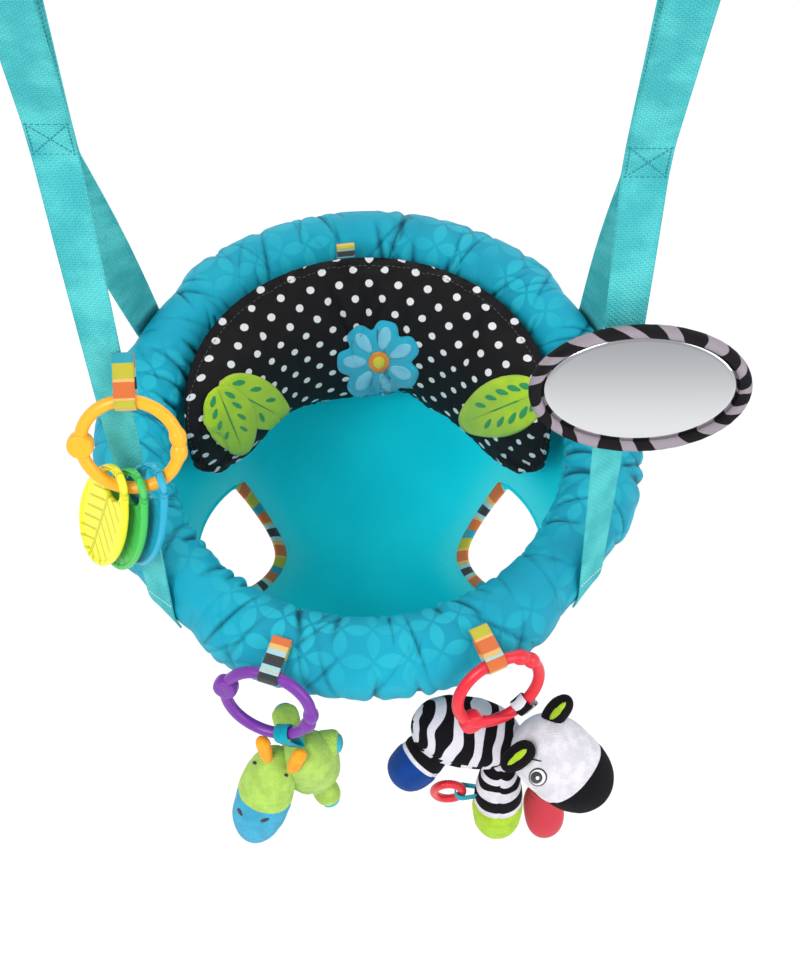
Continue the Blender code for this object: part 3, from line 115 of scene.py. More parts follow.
def add_node(tree, kind, inputs=None, **settings):
    """New node; an input gets a value or a link from a socket, and settings are the node's own choices."""
    node = tree.nodes.new(kind)
    for label, value in settings.items():
        setattr(node, label, value)
    for label, value in (inputs or {}).items():
        if isinstance(value, bpy.types.NodeSocket):
            tree.links.new(value, node.inputs[label])
        else:
            node.inputs[label].default_value = value
    return node


def calc(tree, operation, *values):
    """Output of a Math node on sockets and numbers."""
    return add_node(tree, "ShaderNodeMath", dict(enumerate(values)), operation=operation).outputs[0]


def group(name, inputs, outputs):
    """Empty shader node group with named number inputs and outputs."""
    tree = bpy.data.node_groups.new(name, "ShaderNodeTree")
    for label, default in inputs.items():
        socket = tree.interface.new_socket(label, in_out="INPUT", socket_type="NodeSocketFloat")
        socket.default_value = default
    for label in outputs:
        tree.interface.new_socket(label, in_out="OUTPUT", socket_type="NodeSocketFloat")
    return tree, tree.nodes.new("NodeGroupInput"), tree.nodes.new("NodeGroupOutput")


def place(tree, source, count):
    """Across, along and whole vector of a coordinate, times a count per metre."""
    coordinate = tree.nodes.new("ShaderNodeTexCoord").outputs[source]
    inputs = {0: coordinate, "Scale": count}
    scaled = add_node(tree, "ShaderNodeVectorMath", inputs, operation="SCALE").outputs[0]
    parts = add_node(tree, "ShaderNodeSeparateXYZ", {0: scaled})
    return parts.outputs[0], parts.outputs[1], scaled


def soft_step(tree, value, low, high):
    """Smooth mask: 0 where the value is below low, 1 where it is above high."""
    inputs = {"Value": value, "From Min": low, "From Max": high}
    return add_node(tree, "ShaderNodeMapRange", inputs, interpolation_type="SMOOTHSTEP").outputs["Result"]


def cloudy(tree, vector, scale, detail=3.0):
    """Value of a noise texture at a vector."""
    node = add_node(tree, "ShaderNodeTexNoise", {"Scale": scale, "Detail": detail, "Vector": vector})
    return node.outputs[0]


# %% Weave
weave, enter, leave = group("Plain weave", {"Threads": 1500.0}, ["Height"])
across, along, _ = place(weave, "UV", enter.outputs["Threads"])
warp = calc(weave, "SINE", calc(weave, "MULTIPLY", across, math.pi))
weft = calc(weave, "SINE", calc(weave, "MULTIPLY", along, math.pi))
chosen = calc(weave, "GREATER_THAN", calc(weave, "MULTIPLY", warp, weft), 0.0)
over = calc(weave, "MULTIPLY", calc(weave, "ABSOLUTE", warp), chosen)
under = calc(weave, "MULTIPLY", calc(weave, "ABSOLUTE", weft), calc(weave, "SUBTRACT", 1.0, chosen))
weave.links.new(calc(weave, "ADD", over, under), leave.inputs["Height"])


# %% Prints: petals and dots
PETAL_NARROWS, PETAL_HALF, PETAL_SOFT = -1.15, 0.23, 0.03
DOT_SHARE, DOT_SOFT = 0.128, 0.008


def centred(tree, value, shift):
    """Place within a repeat, from -0.5 to 0.5."""
    return calc(tree, "SUBTRACT", calc(tree, "FRACT", calc(tree, "ADD", value, shift)), 0.5)


def petal(tree, long_way, short_way):
    """Mask of a pointed petal that spans each repeat one way and lies on its edge the other way."""
    from_middle = calc(tree, "POWER", centred(tree, long_way, 0.0), 2.0)
    reach = calc(tree, "MULTIPLY_ADD", from_middle, PETAL_NARROWS, PETAL_HALF)
    from_edge = calc(tree, "ABSOLUTE", centred(tree, short_way, 0.5))
    return soft_step(tree, calc(tree, "SUBTRACT", reach, from_edge), 0, PETAL_SOFT)


petals, enter, leave = group("Petal print", {"Repeats": 42.0}, ["Mask"])
across, along, _ = place(petals, "UV", enter.outputs["Repeats"])
both_ways = calc(petals, "MAXIMUM", petal(petals, across, along), petal(petals, along, across))
petals.links.new(both_ways, leave.inputs["Mask"])


def dot(tree, across, along, shift, share):
    """Mask of a round dot in each repeat."""
    x = calc(tree, "POWER", centred(tree, across, shift), 2.0)
    y = calc(tree, "POWER", centred(tree, along, shift), 2.0)
    away = calc(tree, "SQRT", calc(tree, "ADD", x, y))
    return soft_step(tree, calc(tree, "SUBTRACT", share, away), -DOT_SOFT, DOT_SOFT)


dots, enter, leave = group("Polka dots", {"Repeats": 45.0}, ["Mask"])
across, along, _ = place(dots, "UV", enter.outputs["Repeats"])
masks = [dot(dots, across, along, shift, DOT_SHARE) for shift in (0.0, 0.5)]
dots.links.new(calc(dots, "MAXIMUM", *masks), leave.inputs["Mask"])

# %% Animal stripes, pile and moulded skin
beast, enter, leave = group("Animal stripes", {"Scale": 60.0}, ["Mask"])
_, _, vector = place(beast, "UV", enter.outputs["Scale"])
waviness = {"Scale": 1.0, "Distortion": 4.0, "Detail": 1.0, "Detail Scale": 2.2, "Vector": vector}
wave = add_node(beast, "ShaderNodeTexWave", waviness)
beast.links.new(soft_step(beast, wave.outputs["Fac"], 0.50, 0.56), leave.inputs["Mask"])

pile, enter, leave = group("Short pile", {"Scale": 900.0}, ["Height", "Shade"])
_, _, vector = place(pile, "Object", enter.outputs["Scale"])
pile.links.new(cloudy(pile, vector, 1.0, 4.0), leave.inputs["Height"])
pile.links.new(cloudy(pile, vector, 0.12, 2.0), leave.inputs["Shade"])

skin, enter, leave = group("Moulded skin", {"Scale": 350.0}, ["Height", "Roughness"])
_, _, vector = place(skin, "Object", enter.outputs["Scale"])
skin.links.new(cloudy(skin, vector, 1.0, 3.0), leave.inputs["Height"])
rough = calc(skin, "MULTIPLY_ADD", cloudy(skin, vector, 0.2, 2.0), 0.16, 0.26)
skin.links.new(rough, leave.inputs["Roughness"])
print("node groups", sorted(tree.name for tree in bpy.data.node_groups))

# %% [markdown]
# ## Materials
# Each material is one Principled BSDF. Colours are the ones that the cloth and plastic have in plain light,
# except where painted light or shade is marked below, and the groups above drive what changes over the
# surface: the colour between print and ground, the height for a bump, and the roughness of plastic. What is
# the same all over stays on the shader's own socket.

# %% Material helpers
def shader(name, colour, rough, **sockets):
    """Material with one Principled BSDF; sockets are its other constant values."""
    material = bpy.data.materials.new(name)
    material.use_nodes = True
    bsdf = material.node_tree.nodes["Principled BSDF"]
    bsdf.inputs["Base Color"].default_value = linear(*colour)
    bsdf.inputs["Roughness"].default_value = rough
    for label, value in sockets.items():
        bsdf.inputs[label.replace("_", " ")].default_value = value
    return material


def use(material, tree, **inputs):
    """Group node in a material, with its values."""
    return add_node(material.node_tree, "ShaderNodeGroup", inputs, node_tree=tree)


def raise_by(material, height, depth):
    """Bump on a material from a height socket; bumps stack on the one before."""
    tree = material.node_tree
    normal = tree.nodes["Principled BSDF"].inputs["Normal"]
    bump = add_node(tree, "ShaderNodeBump", {"Distance": depth, "Strength": 1.0, "Height": height})
    if normal.is_linked:
        tree.links.new(normal.links[0].from_socket, bump.inputs["Normal"])
    tree.links.new(bump.outputs[0], normal)


def blend_colours(material, mask, ground, print_colour):
    """Colour that goes from ground to print_colour with a mask; either may be a socket."""
    tree = material.node_tree
    ends = [linear(*end) if isinstance(end, tuple) else end for end in (ground, print_colour)]
    mix = add_node(tree, "ShaderNodeMix", {0: mask, 6: ends[0], 7: ends[1]}, data_type="RGBA")
    tree.links.new(mix.outputs[2], tree.nodes["Principled BSDF"].inputs["Base Color"])
    return mix.outputs[2]


def mottled(material, source, scale, first, second):
    """Colour that wanders slowly between two near shades."""
    tree = material.node_tree
    _, _, vector = place(tree, source, 1.0)
    return blend_colours(material, soft_step(tree, cloudy(tree, vector, scale), 0.35, 0.65), first, second)


WEBBING_THREADS, RIBBON_THREADS, CLOTH_THREADS = 560.0, 1900.0, 2600.0
WEAVE_DEPTH, FINE_WEAVE_DEPTH = 0.00012, 0.0001


def woven(material, depth=WEAVE_DEPTH, threads=CLOTH_THREADS):
    """Weave of a cloth as a bump on its material."""
    raise_by(material, use(material, weave, Threads=threads).outputs[0], depth)


def worked_out(material, label):
    """Value that a piece's mesh holds for each point, in its material."""
    return add_node(material.node_tree, "ShaderNodeAttribute", attribute_name=label).outputs["Fac"]


# %% Webbing, ring cloth and seat cloth
webbing = shader("webbing", (75, 190, 195), 0.85, Specular_IOR_Level=0.2)
mottled(webbing, "UV", 30.0, (64, 178, 184), (88, 202, 204))
woven(webbing, 0.0005, WEBBING_THREADS)

ring_cloth = shader("ring_cloth", (0, 172, 200), 0.5, Specular_IOR_Level=0.25)
ground = mottled(ring_cloth, "UV", 9.0, (0, 148, 176), (0, 166, 194))
tree = ring_cloth.node_tree
_, _, vector = place(tree, "UV", 1.0)
worn = soft_step(tree, cloudy(tree, vector, 15.0, 1.0), 0.30, 0.66)
petals_left = calc(tree, "MULTIPLY", use(ring_cloth, petals).outputs[0], worn)
dyed = blend_colours(ring_cloth, petals_left, ground, (26, 178, 200))
# Painted shade: the colour darkens towards (0, 84, 108) in the folds' valleys.
blend_colours(ring_cloth, worked_out(ring_cloth, "crease_shade"), dyed, (0, 84, 108))
woven(ring_cloth, FINE_WEAVE_DEPTH)

# Painted light: the seat's inside is a brightened copy of its cloth, which makes up for the shade inside the
# seat; sling_back is the darker copy for the outside.
sling_cloth = shader("sling_cloth", (0, 236, 252), 0.7, Specular_IOR_Level=0.15)
ground = mottled(sling_cloth, "Object", 6.0, (0, 228, 248), (24, 240, 254))
blend_colours(sling_cloth, worked_out(sling_cloth, "pale"), ground, (84, 246, 255))
woven(sling_cloth)

sling_back = shader("sling_back", (0, 160, 184), 0.8, Specular_IOR_Level=0.15)
mottled(sling_back, "Object", 6.0, (0, 152, 178), (0, 166, 190))
woven(sling_back)


# %% Striped ribbon
def striped(name, colours, repeat):
    """Woven ribbon with crosswise stripes, from pairs of a width share and a colour; repeat is in metres."""
    material = shader(name, colours[0][1], 0.7, Sheen_Weight=0.2)
    tree = material.node_tree
    across, _, _ = place(tree, "UV", 1 / repeat)
    ramp = tree.nodes.new("ShaderNodeValToRGB")
    ramp.color_ramp.interpolation = "CONSTANT"
    total = sum(share for share, _ in colours)
    position = 0.0
    for i, (share, colour) in enumerate(colours):
        element = ramp.color_ramp.elements[i] if i < 2 else ramp.color_ramp.elements.new(position)
        element.position = position
        element.color = linear(*colour)
        position += share / total
    tree.links.new(calc(tree, "FRACT", across), ramp.inputs[0])
    tree.links.new(ramp.outputs[0], tree.nodes["Principled BSDF"].inputs["Base Color"])
    woven(material, 0.0002, RIBBON_THREADS)
    return material


STRIPES_REPEAT = 0.062
ORANGE, TEAL, LEMON = (226, 112, 42), (10, 160, 180), (200, 190, 40)
INK, SKY, CREAM = (34, 36, 42), (168, 214, 220), (236, 190, 110)
stripe = striped(
    "stripe",
    [
        (5, ORANGE), (2, CREAM), (2, SKY), (4, INK), (2, SKY), (1, CREAM), (5, ORANGE), (4, TEAL), (5, LEMON),
        (1, CREAM),
    ],
    STRIPES_REPEAT,
)


# %% Pillow cloth, plastics, plush and metal
pillow_cloth = shader("pillow_cloth", (34, 31, 33), 0.62, Specular_IOR_Level=0.15)
blend_colours(pillow_cloth, use(pillow_cloth, dots).outputs[0], (24, 22, 24), (228, 228, 230))
woven(pillow_cloth)


def plastic(name, colour, subsurface=0.0):
    """Smooth moulded plastic."""
    material = shader(name, colour, 0.35, Subsurface_Weight=subsurface, Subsurface_Scale=0.004)
    node = use(material, skin)
    tree = material.node_tree
    tree.links.new(node.outputs["Roughness"], tree.nodes["Principled BSDF"].inputs["Roughness"])
    raise_by(material, node.outputs["Height"], 0.00006)
    return material


def plush(name, colour):
    """Short pile on a stuffed toy."""
    material = shader(name, colour, 0.95, Sheen_Weight=0.25 * sum(colour) / 765, Specular_IOR_Level=0.1)
    node = use(material, pile)
    darker = tuple(int(channel * 0.95) for channel in colour)
    lighter = tuple(min(255, int(channel * 1.03)) for channel in colour)
    blend_colours(material, soft_step(material.node_tree, node.outputs["Shade"], 0.35, 0.65), darker, lighter)
    raise_by(material, node.outputs["Height"], 0.0012)
    return material


amber = plastic("link_yellow", (250, 172, 28), 0.1)
purple = plastic("link_purple", (112, 42, 152))
red = plastic("link_red", (216, 30, 50))
# Each leaf's colours: its plastic, the ground of its face, and the darker colour in its vein grooves, which
# is painted shade.
LEAF_SHADES = {
    "yellow": ((226, 222, 36), (228, 224, 40), (206, 200, 24)),
    "green": ((62, 184, 84), (64, 188, 84), (40, 150, 62)),
    "blue": ((30, 158, 190), (24, 162, 196), (18, 128, 164)),
}
leaf_colours = {label: plastic(f"leaf_{label}", shades[0], 0.2) for label, shades in LEAF_SHADES.items()}
clamp_plastic = plastic("clamp", (186, 188, 190))
hoop_plastic = plastic("hoop", (104, 104, 108))
rubber = plastic("rubber", (46, 46, 46))
steel = shader("steel", (196, 198, 202), 0.28, Metallic=1.0)
raise_by(steel, use(steel, skin, Scale=900.0).outputs["Height"], 0.00004)
# Painted reflection: the foil's colour is lighter towards its lower edge and darker above.
mirror_face = shader("mirror", (225, 228, 230), 0.12, Metallic=1.0)
_, level, _ = place(mirror_face.node_tree, "UV", 1.0)
painted_reflection = soft_step(mirror_face.node_tree, level, -0.036, 0.050)
blend_colours(mirror_face, painted_reflection, (224, 225, 227), (168, 170, 174))
lime, muzzle = plush("giraffe", (168, 206, 92)), plush("muzzle", (60, 165, 200))
horn, teal = plush("horn", (248, 165, 34)), plush("teal_cloth", (0, 158, 176))
white_plush, black_plush = plush("zebra", (218, 215, 224)), plush("zebra_black", (20, 18, 22))
blue_foot, green_foot = plush("foot_blue", (18, 64, 138)), plush("foot_green", (166, 202, 40))
zebra_print = shader("zebra_print", (225, 222, 230), 0.95, Specular_IOR_Level=0.1)
blend_colours(zebra_print, use(zebra_print, beast, Scale=19.0).outputs[0], (20, 18, 22), (216, 213, 222))
raise_by(zebra_print, use(zebra_print, pile).outputs["Height"], 0.0010)
frame_print = shader("mirror_frame", (165, 155, 165), 0.8, Specular_IOR_Level=0.2)
blend_colours(frame_print, use(frame_print, beast, Scale=12.0).outputs[0], (20, 17, 22), (160, 150, 160))
woven(frame_print)
print("materials", len(bpy.data.materials))

# %% [markdown]
# ## Floor and light
# The jumper hangs over a plain white floor. Is Camera Ray turns most of the floor and the world white for
# the camera, so the ground of the picture is white without more light on the object, and the rest of the
# floor's shader still takes the soft shadow. Three wide area lamps, a key, a fill and one behind, and a dim
# world light every side.

# %% Floor, lamps and world
FLOOR_DROP, FLOOR_GLOW, WORLD_LIGHT, WHITE = 0.46, 0.7, 0.80, (1, 1, 1, 1)


def white_for_camera(tree, shaded, share):
    """Mixes a shader with plain white light where the camera or a reflection sees it."""
    path = tree.nodes.new("ShaderNodeLightPath")
    seen = calc(tree, "MAXIMUM", path.outputs["Is Camera Ray"], path.outputs["Is Glossy Ray"])
    seen = calc(tree, "MAXIMUM", seen, path.outputs["Is Transmission Ray"])
    glow = add_node(tree, "ShaderNodeEmission", {"Color": WHITE})
    ends = {0: calc(tree, "MULTIPLY", seen, share), 1: shaded, 2: glow.outputs[0]}
    return add_node(tree, "ShaderNodeMixShader", ends).outputs[0]


bpy.ops.mesh.primitive_plane_add(size=30, location=(0, 0, cad_box[0][2] - FLOOR_DROP))
floor = bpy.context.object
floor.name = "floor"
paper = shader("floor", (250, 250, 250), 0.9)
tree = paper.node_tree
seen = white_for_camera(tree, tree.nodes["Principled BSDF"].outputs[0], FLOOR_GLOW)
tree.links.new(seen, tree.nodes["Material Output"].inputs["Surface"])
floor.data.materials.append(paper)

world = bpy.data.worlds.new("world")
bpy.context.scene.world = world
world.use_nodes = True
tree = world.node_tree
dim = tree.nodes["Background"]
dim.inputs["Color"].default_value = WHITE
dim.inputs["Strength"].default_value = WORLD_LIGHT
bright = add_node(tree, "ShaderNodeBackground", {"Color": WHITE})
seen = tree.nodes.new("ShaderNodeLightPath").outputs["Is Camera Ray"]
mix = add_node(tree, "ShaderNodeMixShader", {0: seen, 1: dim.outputs[0], 2: bright.outputs[0]})
tree.links.new(mix.outputs[0], tree.nodes["World Output"].inputs["Surface"])


def lamp(name, spot, power, size):
    """Wide area lamp that looks at the seat."""
    data = bpy.data.lights.new(name, "AREA")
    data.energy = power
    data.size = size
    piece = bpy.data.objects.new(name, data)
    piece.location = SEAT + Vector(spot)
    piece.rotation_euler = (-Vector(spot)).to_track_quat("-Z", "Y").to_euler()
    bpy.context.collection.objects.link(piece)


lamp("key", (-1.3, -1.6, 2.6), 60, 1.4)
lamp("fill", (2.2, -1.2, 1.2), 30, 2.0)
lamp("back", (0.4, 2.4, 1.0), 22, 2.0)

# %% [markdown]
# ## Meshes from grids of points
# Almost every soft or round piece here is a grid of points: rows along it and columns across it. One helper
# skins such a grid, smooths it and lays out its UV map in metres from the grid's own lengths, so a weave
# keeps its scale.

# %% Grid helpers
def lengths(grid, closed):
    """Running distance from row to row, as the mean over the columns."""
    rows = list(grid) + ([grid[0]] if closed else [])
    found = [0.0]
    for low, high in zip(rows, rows[1:]):
        found.append(found[-1] + sum((b - a).length for a, b in zip(low, high)) / len(low))
    return found


def surface(name, rows, material, loop=False, ring=False, caps=False, us=None, flat=None):
    """Smooth mesh over rows of points in seat coordinates; loop closes the rows, ring closes each row.

    flat, where given, is the place in the cloth of a row and a column, instead of the lengths each way.
    """
    bm = bmesh.new()
    uv = bm.loops.layers.uv.new("UVMap")
    count, width = len(rows), len(rows[0])
    us = us or lengths(rows, loop)
    vs = lengths(list(zip(*rows)), ring)
    flat = flat or (lambda row, column: (us[row], vs[column]))
    verts = [[bm.verts.new(SEAT + point) for point in row] for row in rows]
    for i in range(count if loop else count - 1):
        for j in range(width if ring else width - 1):
            corners = ((i, j), (i, j + 1), (i + 1, j + 1), (i + 1, j))
            face = bm.faces.new([verts[a % count][b % width] for a, b in corners])
            for corner, (a, b) in zip(face.loops, corners):
                corner[uv].uv = flat(a, b)
    if caps:
        for end in (0, count - 1):
            face = bm.faces.new(verts[end])
            for column, corner in enumerate(face.loops):
                corner[uv].uv = flat(end, column)
    for face in bm.faces:
        face.smooth = True
    if caps or (loop and ring):
        bmesh.ops.recalc_face_normals(bm, faces=bm.faces)
    return put(name, bm, material)


def put(name, bm, material):
    """Object made of a bmesh, in the scene."""
    mesh = bpy.data.meshes.new(name)
    bm.to_mesh(mesh)
    bm.free()
    mesh.materials.append(material)
    piece = bpy.data.objects.new(name, mesh)
    bpy.context.collection.objects.link(piece)
    return piece


def settle(piece, body, slot, *nodes):
    """Puts a finished piece on its body and hides the CAD nodes that it stands for; slot is not used."""
    if body:
        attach(piece, body)
    if nodes:
        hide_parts(*nodes)
    print(piece.name, len(piece.data.polygons), "faces")
    return piece


def heading(azimuth_deg):
    """Level direction at an azimuth."""
    turn = math.radians(azimuth_deg)
    return Vector((math.cos(turn), math.sin(turn), 0))


def turned(side, up, turn):
    """Direction that lies at a turn from side towards up."""
    return side * math.cos(turn) + up * math.sin(turn)


def ease(value):
    """Soft step from 0 to 1."""
    value = min(1, max(0, value))
    return value * value * (3 - 2 * value)


def oval(centre, side, up, wide, tall, count, power=1.0):
    """Ring of points round a centre; a power below 1 squares it."""
    found = []
    for i in range(count):
        turn = math.tau * i / count
        c, s = math.cos(turn), math.sin(turn)
        x, y = math.copysign(abs(c) ** power, c), math.copysign(abs(s) ** power, s)
        found.append(centre + side * (wide * x) + up * (tall * y))
    return found


def runs(points, closed=False):
    """Direction of travel at each point of a line."""
    count = len(points)
    found = []
    for i in range(count):
        low = points[i - 1] if closed or i else points[i]
        high = points[(i + 1) % count] if closed or i < count - 1 else points[i]
        found.append((high - low).normalized())
    return found


def tube(name, points, radii, material, closed=False, count=14, up=Z_AXIS):
    """Round tube along a line of points, with rounded ends."""
    side = None
    rows = []
    for point, run, radius in zip(points, runs(points, closed), radii):
        side = (up if side is None else side) - run * run.dot(up if side is None else side)
        side = side.normalized()
        rows.append(oval(point, side, run.cross(side), radius, radius, count))
    if not closed:
        for end, run in ((0, -1), (-1, 1)):
            centre, way = points[end], runs(points)[end] * run
            extra = []
            for share in (0.5, 0.8, 0.98):
                shift = way * (radii[end] * share)
                extra.append([centre + (p - centre) * (1 - share**2) ** 0.5 + shift for p in rows[end]])
            rows = list(reversed(extra)) + rows if end == 0 else rows + extra
    return surface(name, rows, material, loop=closed, ring=True, caps=not closed)


def resampled(stations, step):
    """Points, or points with their faces, spaced evenly along the same line."""
    vectors = [s if isinstance(s, tuple) else (s,) for s in stations]
    far = [0.0]
    for a, b in zip(vectors, vectors[1:]):
        far.append(far[-1] + (b[0] - a[0]).length)
    count = max(2, round(far[-1] / step))
    found, k = [], 0
    for i in range(count + 1):
        reach = far[-1] * i / count
        while k < len(far) - 2 and far[k + 1] < reach:
            k += 1
        share = (reach - far[k]) / max(1e-9, far[k + 1] - far[k])
        found.append(tuple(a.lerp(b, share) for a, b in zip(vectors[k], vectors[k + 1])))
    return found if isinstance(stations[0], tuple) else [f[0] for f in found]


def softened(stations, passes):
    """Line whose corners are rounded by averaging each point with its neighbours."""
    for _ in range(passes):
        middle = [
            tuple((a + b * 2 + c) / 4 for a, b, c in zip(*three))
            for three in zip(stations, stations[1:], stations[2:])
        ]
        stations = [stations[0], *middle, stations[-1]]
    return stations


def ribbon(name, stations, width, thick, material, closed=False, columns=6, shift=0.0):
    """Flat band along stations of a point and the way its face looks; shift moves its print along it."""
    points = [point for point, _ in stations]
    rows = []
    for (point, face), run in zip(stations, runs(points, closed)):
        across = face.cross(run).normalized()
        out = run.cross(across)
        half, edge = width / 2 - thick / 2, thick / 2
        row = []
        for sign in (1, -1):
            for i in range(columns + 1):
                row.append(point + across * (half * sign * (2 * i / columns - 1)) + out * (edge * sign))
            row.append(point + across * ((half + edge * 0.8) * sign))
        rows.append(row)
    far = [shift + reach for reach in lengths(rows, closed)]
    return surface(name, rows, material, loop=closed, ring=True, caps=not closed, us=far)


# %% [markdown]
# ## The webbing
# Each side has one length of 28.5 mm webbing. It rises from under the ring in front, joins the back leg in
# a sewn box, goes over the spreader bar and comes down behind. The route is a list of stations, a point and
# the way that the webbing's face looks there; the band is skinned along them. A straight line between the
# box and the ring is right, because the webbing is taut.

# %% Webbing
GAP, CLOTH = 0.0003, 0.0016
STRAP_WIDTH, STRAP_SPREAD, STRAP_RISE, BAR_RADIUS = 0.0285, 0.172, 0.555, 0.011
BAR_Y = -0.0155
CROSS_BOX_LENGTH, CROSS_BOX_AT = 0.030, {-1: (-0.1755, 0.350), 1: (0.1680, 0.329)}
STRAP_AZIMUTH = {-1: (-137.0, 149.0), 1: (-36.6, 31.0)}
RING_RADIUS, PAD_RADIUS = 0.176, 0.029
PINCH, PINCH_DEG, PINCH_FADE_DEG, PINCH_FACE_DEG, PINCH_REACH_DEG, PINCH_EASE_DEG = 0.007, 7, 9, -8, 40, 45
TUCK_DEG = 42.0


def tucked(azimuth_deg, start, steps=14):
    """Stations where a leg comes down from start onto the ring's outer side and tucks under it."""
    out = heading(azimuth_deg)
    reach = PAD_RADIUS - PINCH + GAP * 2 + CLOTH / 2
    radial, height = start.dot(out) - RING_RADIUS, start.z
    away = math.hypot(radial, height)
    first = math.atan2(height, radial) - math.acos(reach / away)
    slant = -start.dot(Z_AXIS.cross(out)) / away
    found = []
    for i in range(steps + 1):
        turn = first - math.radians(TUCK_DEG) * i / steps
        here = heading(azimuth_deg + math.degrees(slant * reach * (first - turn) / RING_RADIUS))
        face = turned(here, Z_AXIS, turn)
        found.append((here * RING_RADIUS + face * reach, face))
    return found


def strap_route(side):
    """Front leg up, over the spreader bar, and back leg down."""
    top_x, bar = side * STRAP_SPREAD, Y_AXIS * BAR_Y
    over, layer = BAR_RADIUS + GAP + CLOTH / 2 + 0.0002, (CLOTH + GAP) / 2
    x, middle = CROSS_BOX_AT[side]
    legs = []
    for facing, azimuth in zip((-1, 1), STRAP_AZIMUTH[side]):
        face = Y_AXIS * facing
        start = Vector((x, facing * layer, middle - CROSS_BOX_LENGTH / 2))
        box_top = start + Z_AXIS * CROSS_BOX_LENGTH
        above = box_top.lerp(Vector((top_x, facing * over, STRAP_RISE)) + bar, 0.5)
        legs.append([*reversed(tucked(azimuth, start)), (start, face), (box_top, face), (above, face)])
    arch = []
    for i in range(17):
        turn = math.pi * i / 16
        face = turned(-Y_AXIS, Z_AXIS, turn)
        arch.append((Vector((top_x, 0, STRAP_RISE)) + bar + face * over, face))
    return legs[0] + arch + legs[1][::-1]


strap_stations = {}
for name, side in (("strap_left", -1), ("strap_right", 1)):
    strap_stations[side] = resampled(strap_route(side), 0.004)
    strap = ribbon(name, softened(strap_stations[side], 2), STRAP_WIDTH, CLOTH, webbing, columns=8)
    settle(strap, "seat", "webbing", name)


def leg_spot(side, height, front=True):
    """Point, outward face and upward direction of a leg of the webbing at a height over the ring."""
    stations = strap_stations[side]
    stations = stations[: len(stations) // 2] if front else stations[len(stations) // 2 :][::-1]
    for (low, low_face), (high, high_face) in zip(stations, stations[1:]):
        if low.z <= height < high.z:
            share = (height - low.z) / (high.z - low.z)
            face = low_face.lerp(high_face, share).normalized()
            return low.lerp(high, share), face, (high - low).normalized()


# %% [markdown]
# ## The padded ring
# A hoop runs in a padded tube of satin that is gathered lengthwise: too much cloth on too short a seam. The
# gathers start at the seams on the inside and underneath, run up over the pad as sharp valleys and fade on
# its crown, and fine pleats in bunches lie between them. Each fold and pleat is a valley with its own
# place, width, depth and reach, drawn from a fixed seed. How deep a point lies also darkens the cloth's
# colour there: painted shade in the valleys.

# %% Gathered ring cover
RING_ROWS, RING_COLUMNS, BORE, BORE_COLUMNS, SLIT_DEG = 960, 76, 0.0098, 13, 5.0
PLEATS, PLEAT_BUNCHES, PLEAT_DEPTH, PLEAT_FADE = 190, 0.61, 0.0044, 0.6
FOLD_SEAMS = ((196, 84, 50, 125, 0.0088), (-62, 92, 50, 140, 0.0074))
FOLD_FADE, FOLD_SHARE, PINCH_FLATTENS = 0.55, 0.9, 0.6
SHOULDER, SHOULDER_FROM_DEG, SHOULDER_DEG = 0.22, 2.0, 1.1
# How deep a valley must be for the painted shade in it to start, and the most that this shade darkens.
CREASE_SHADE_DEPTH, CREASE_SHADE_FROM, CREASE_SHADE_MOST = 0.0032, 0.12, 0.9


def ease_all(values):
    """Soft step from 0 to 1 for an array."""
    values = np.clip(values, 0, 1)
    return values**2 * (3 - 2 * values)


def wrapped(degrees):
    """The same angle, from -180 to 180 degrees."""
    return (degrees + 180) % 360 - 180


def pinch(azimuth, angle):
    """How far the webbing draws the pad in, for arrays of azimuths and section angles in degrees."""
    places = [a for pair in STRAP_AZIMUTH.values() for a in pair]
    near = np.min([np.abs(wrapped(azimuth - a)) for a in places], axis=0)
    away = np.abs(wrapped(angle - PINCH_FACE_DEG))
    along_share = ease_all(1 - (near - PINCH_DEG) / PINCH_FADE_DEG)
    return PINCH * along_share * ease_all(1 - (away - PINCH_REACH_DEG) / PINCH_EASE_DEG)


draw = np.random.default_rng(11)
azimuth = np.linspace(0, 360, RING_ROWS, endpoint=False)[:, None]
angle = np.linspace(-90 + SLIT_DEG, 270 - SLIT_DEG, RING_COLUMNS)[None, :]
fold = np.zeros((RING_ROWS, RING_COLUMNS))
for seam_deg, folds, reach_low, reach_high, depth in FOLD_SEAMS:
    for k in range(folds):
        centre = 360 * (k + draw.uniform(-0.45, 0.45)) / folds
        wide, deep = draw.uniform(0.35, 0.9), depth * draw.uniform(0.2, 1.0) ** 1.6
        reach, lean = draw.uniform(reach_low, reach_high), draw.uniform(-0.07, 0.07)
        along = np.abs(wrapped(angle - seam_deg))
        away = np.abs(wrapped(azimuth - centre - lean * along))
        window = np.clip(1 - along / reach, 0, 1) ** FOLD_FADE
        fold -= deep * window * np.exp(-away / wide)
        fold += SHOULDER * deep * window * np.exp(-(((away - SHOULDER_FROM_DEG) / SHOULDER_DEG) ** 2))
for k in range(PLEATS):
    centre, bunch = 360 * (k + draw.uniform(-0.5, 0.5)) / PLEATS, 0.5 + 0.5 * math.sin(k * PLEAT_BUNCHES)
    wide, deep = draw.uniform(0.26, 0.5), PLEAT_DEPTH * draw.uniform(0.15, 1.0) * bunch
    middle, reach, lean = draw.uniform(0, 170), draw.uniform(35, 90), draw.uniform(-0.13, 0.13)
    along = wrapped(angle - middle)
    away = np.abs(wrapped(azimuth - centre - lean * along))
    fold -= deep * np.clip(1 - np.abs(along) / reach, 0, 1) ** PLEAT_FADE * np.exp(-away / wide)
drawn = pinch(azimuth, angle)
radius = PAD_RADIUS - drawn + fold * (1 - drawn / PINCH * PINCH_FLATTENS) * FOLD_SHARE
rows = []
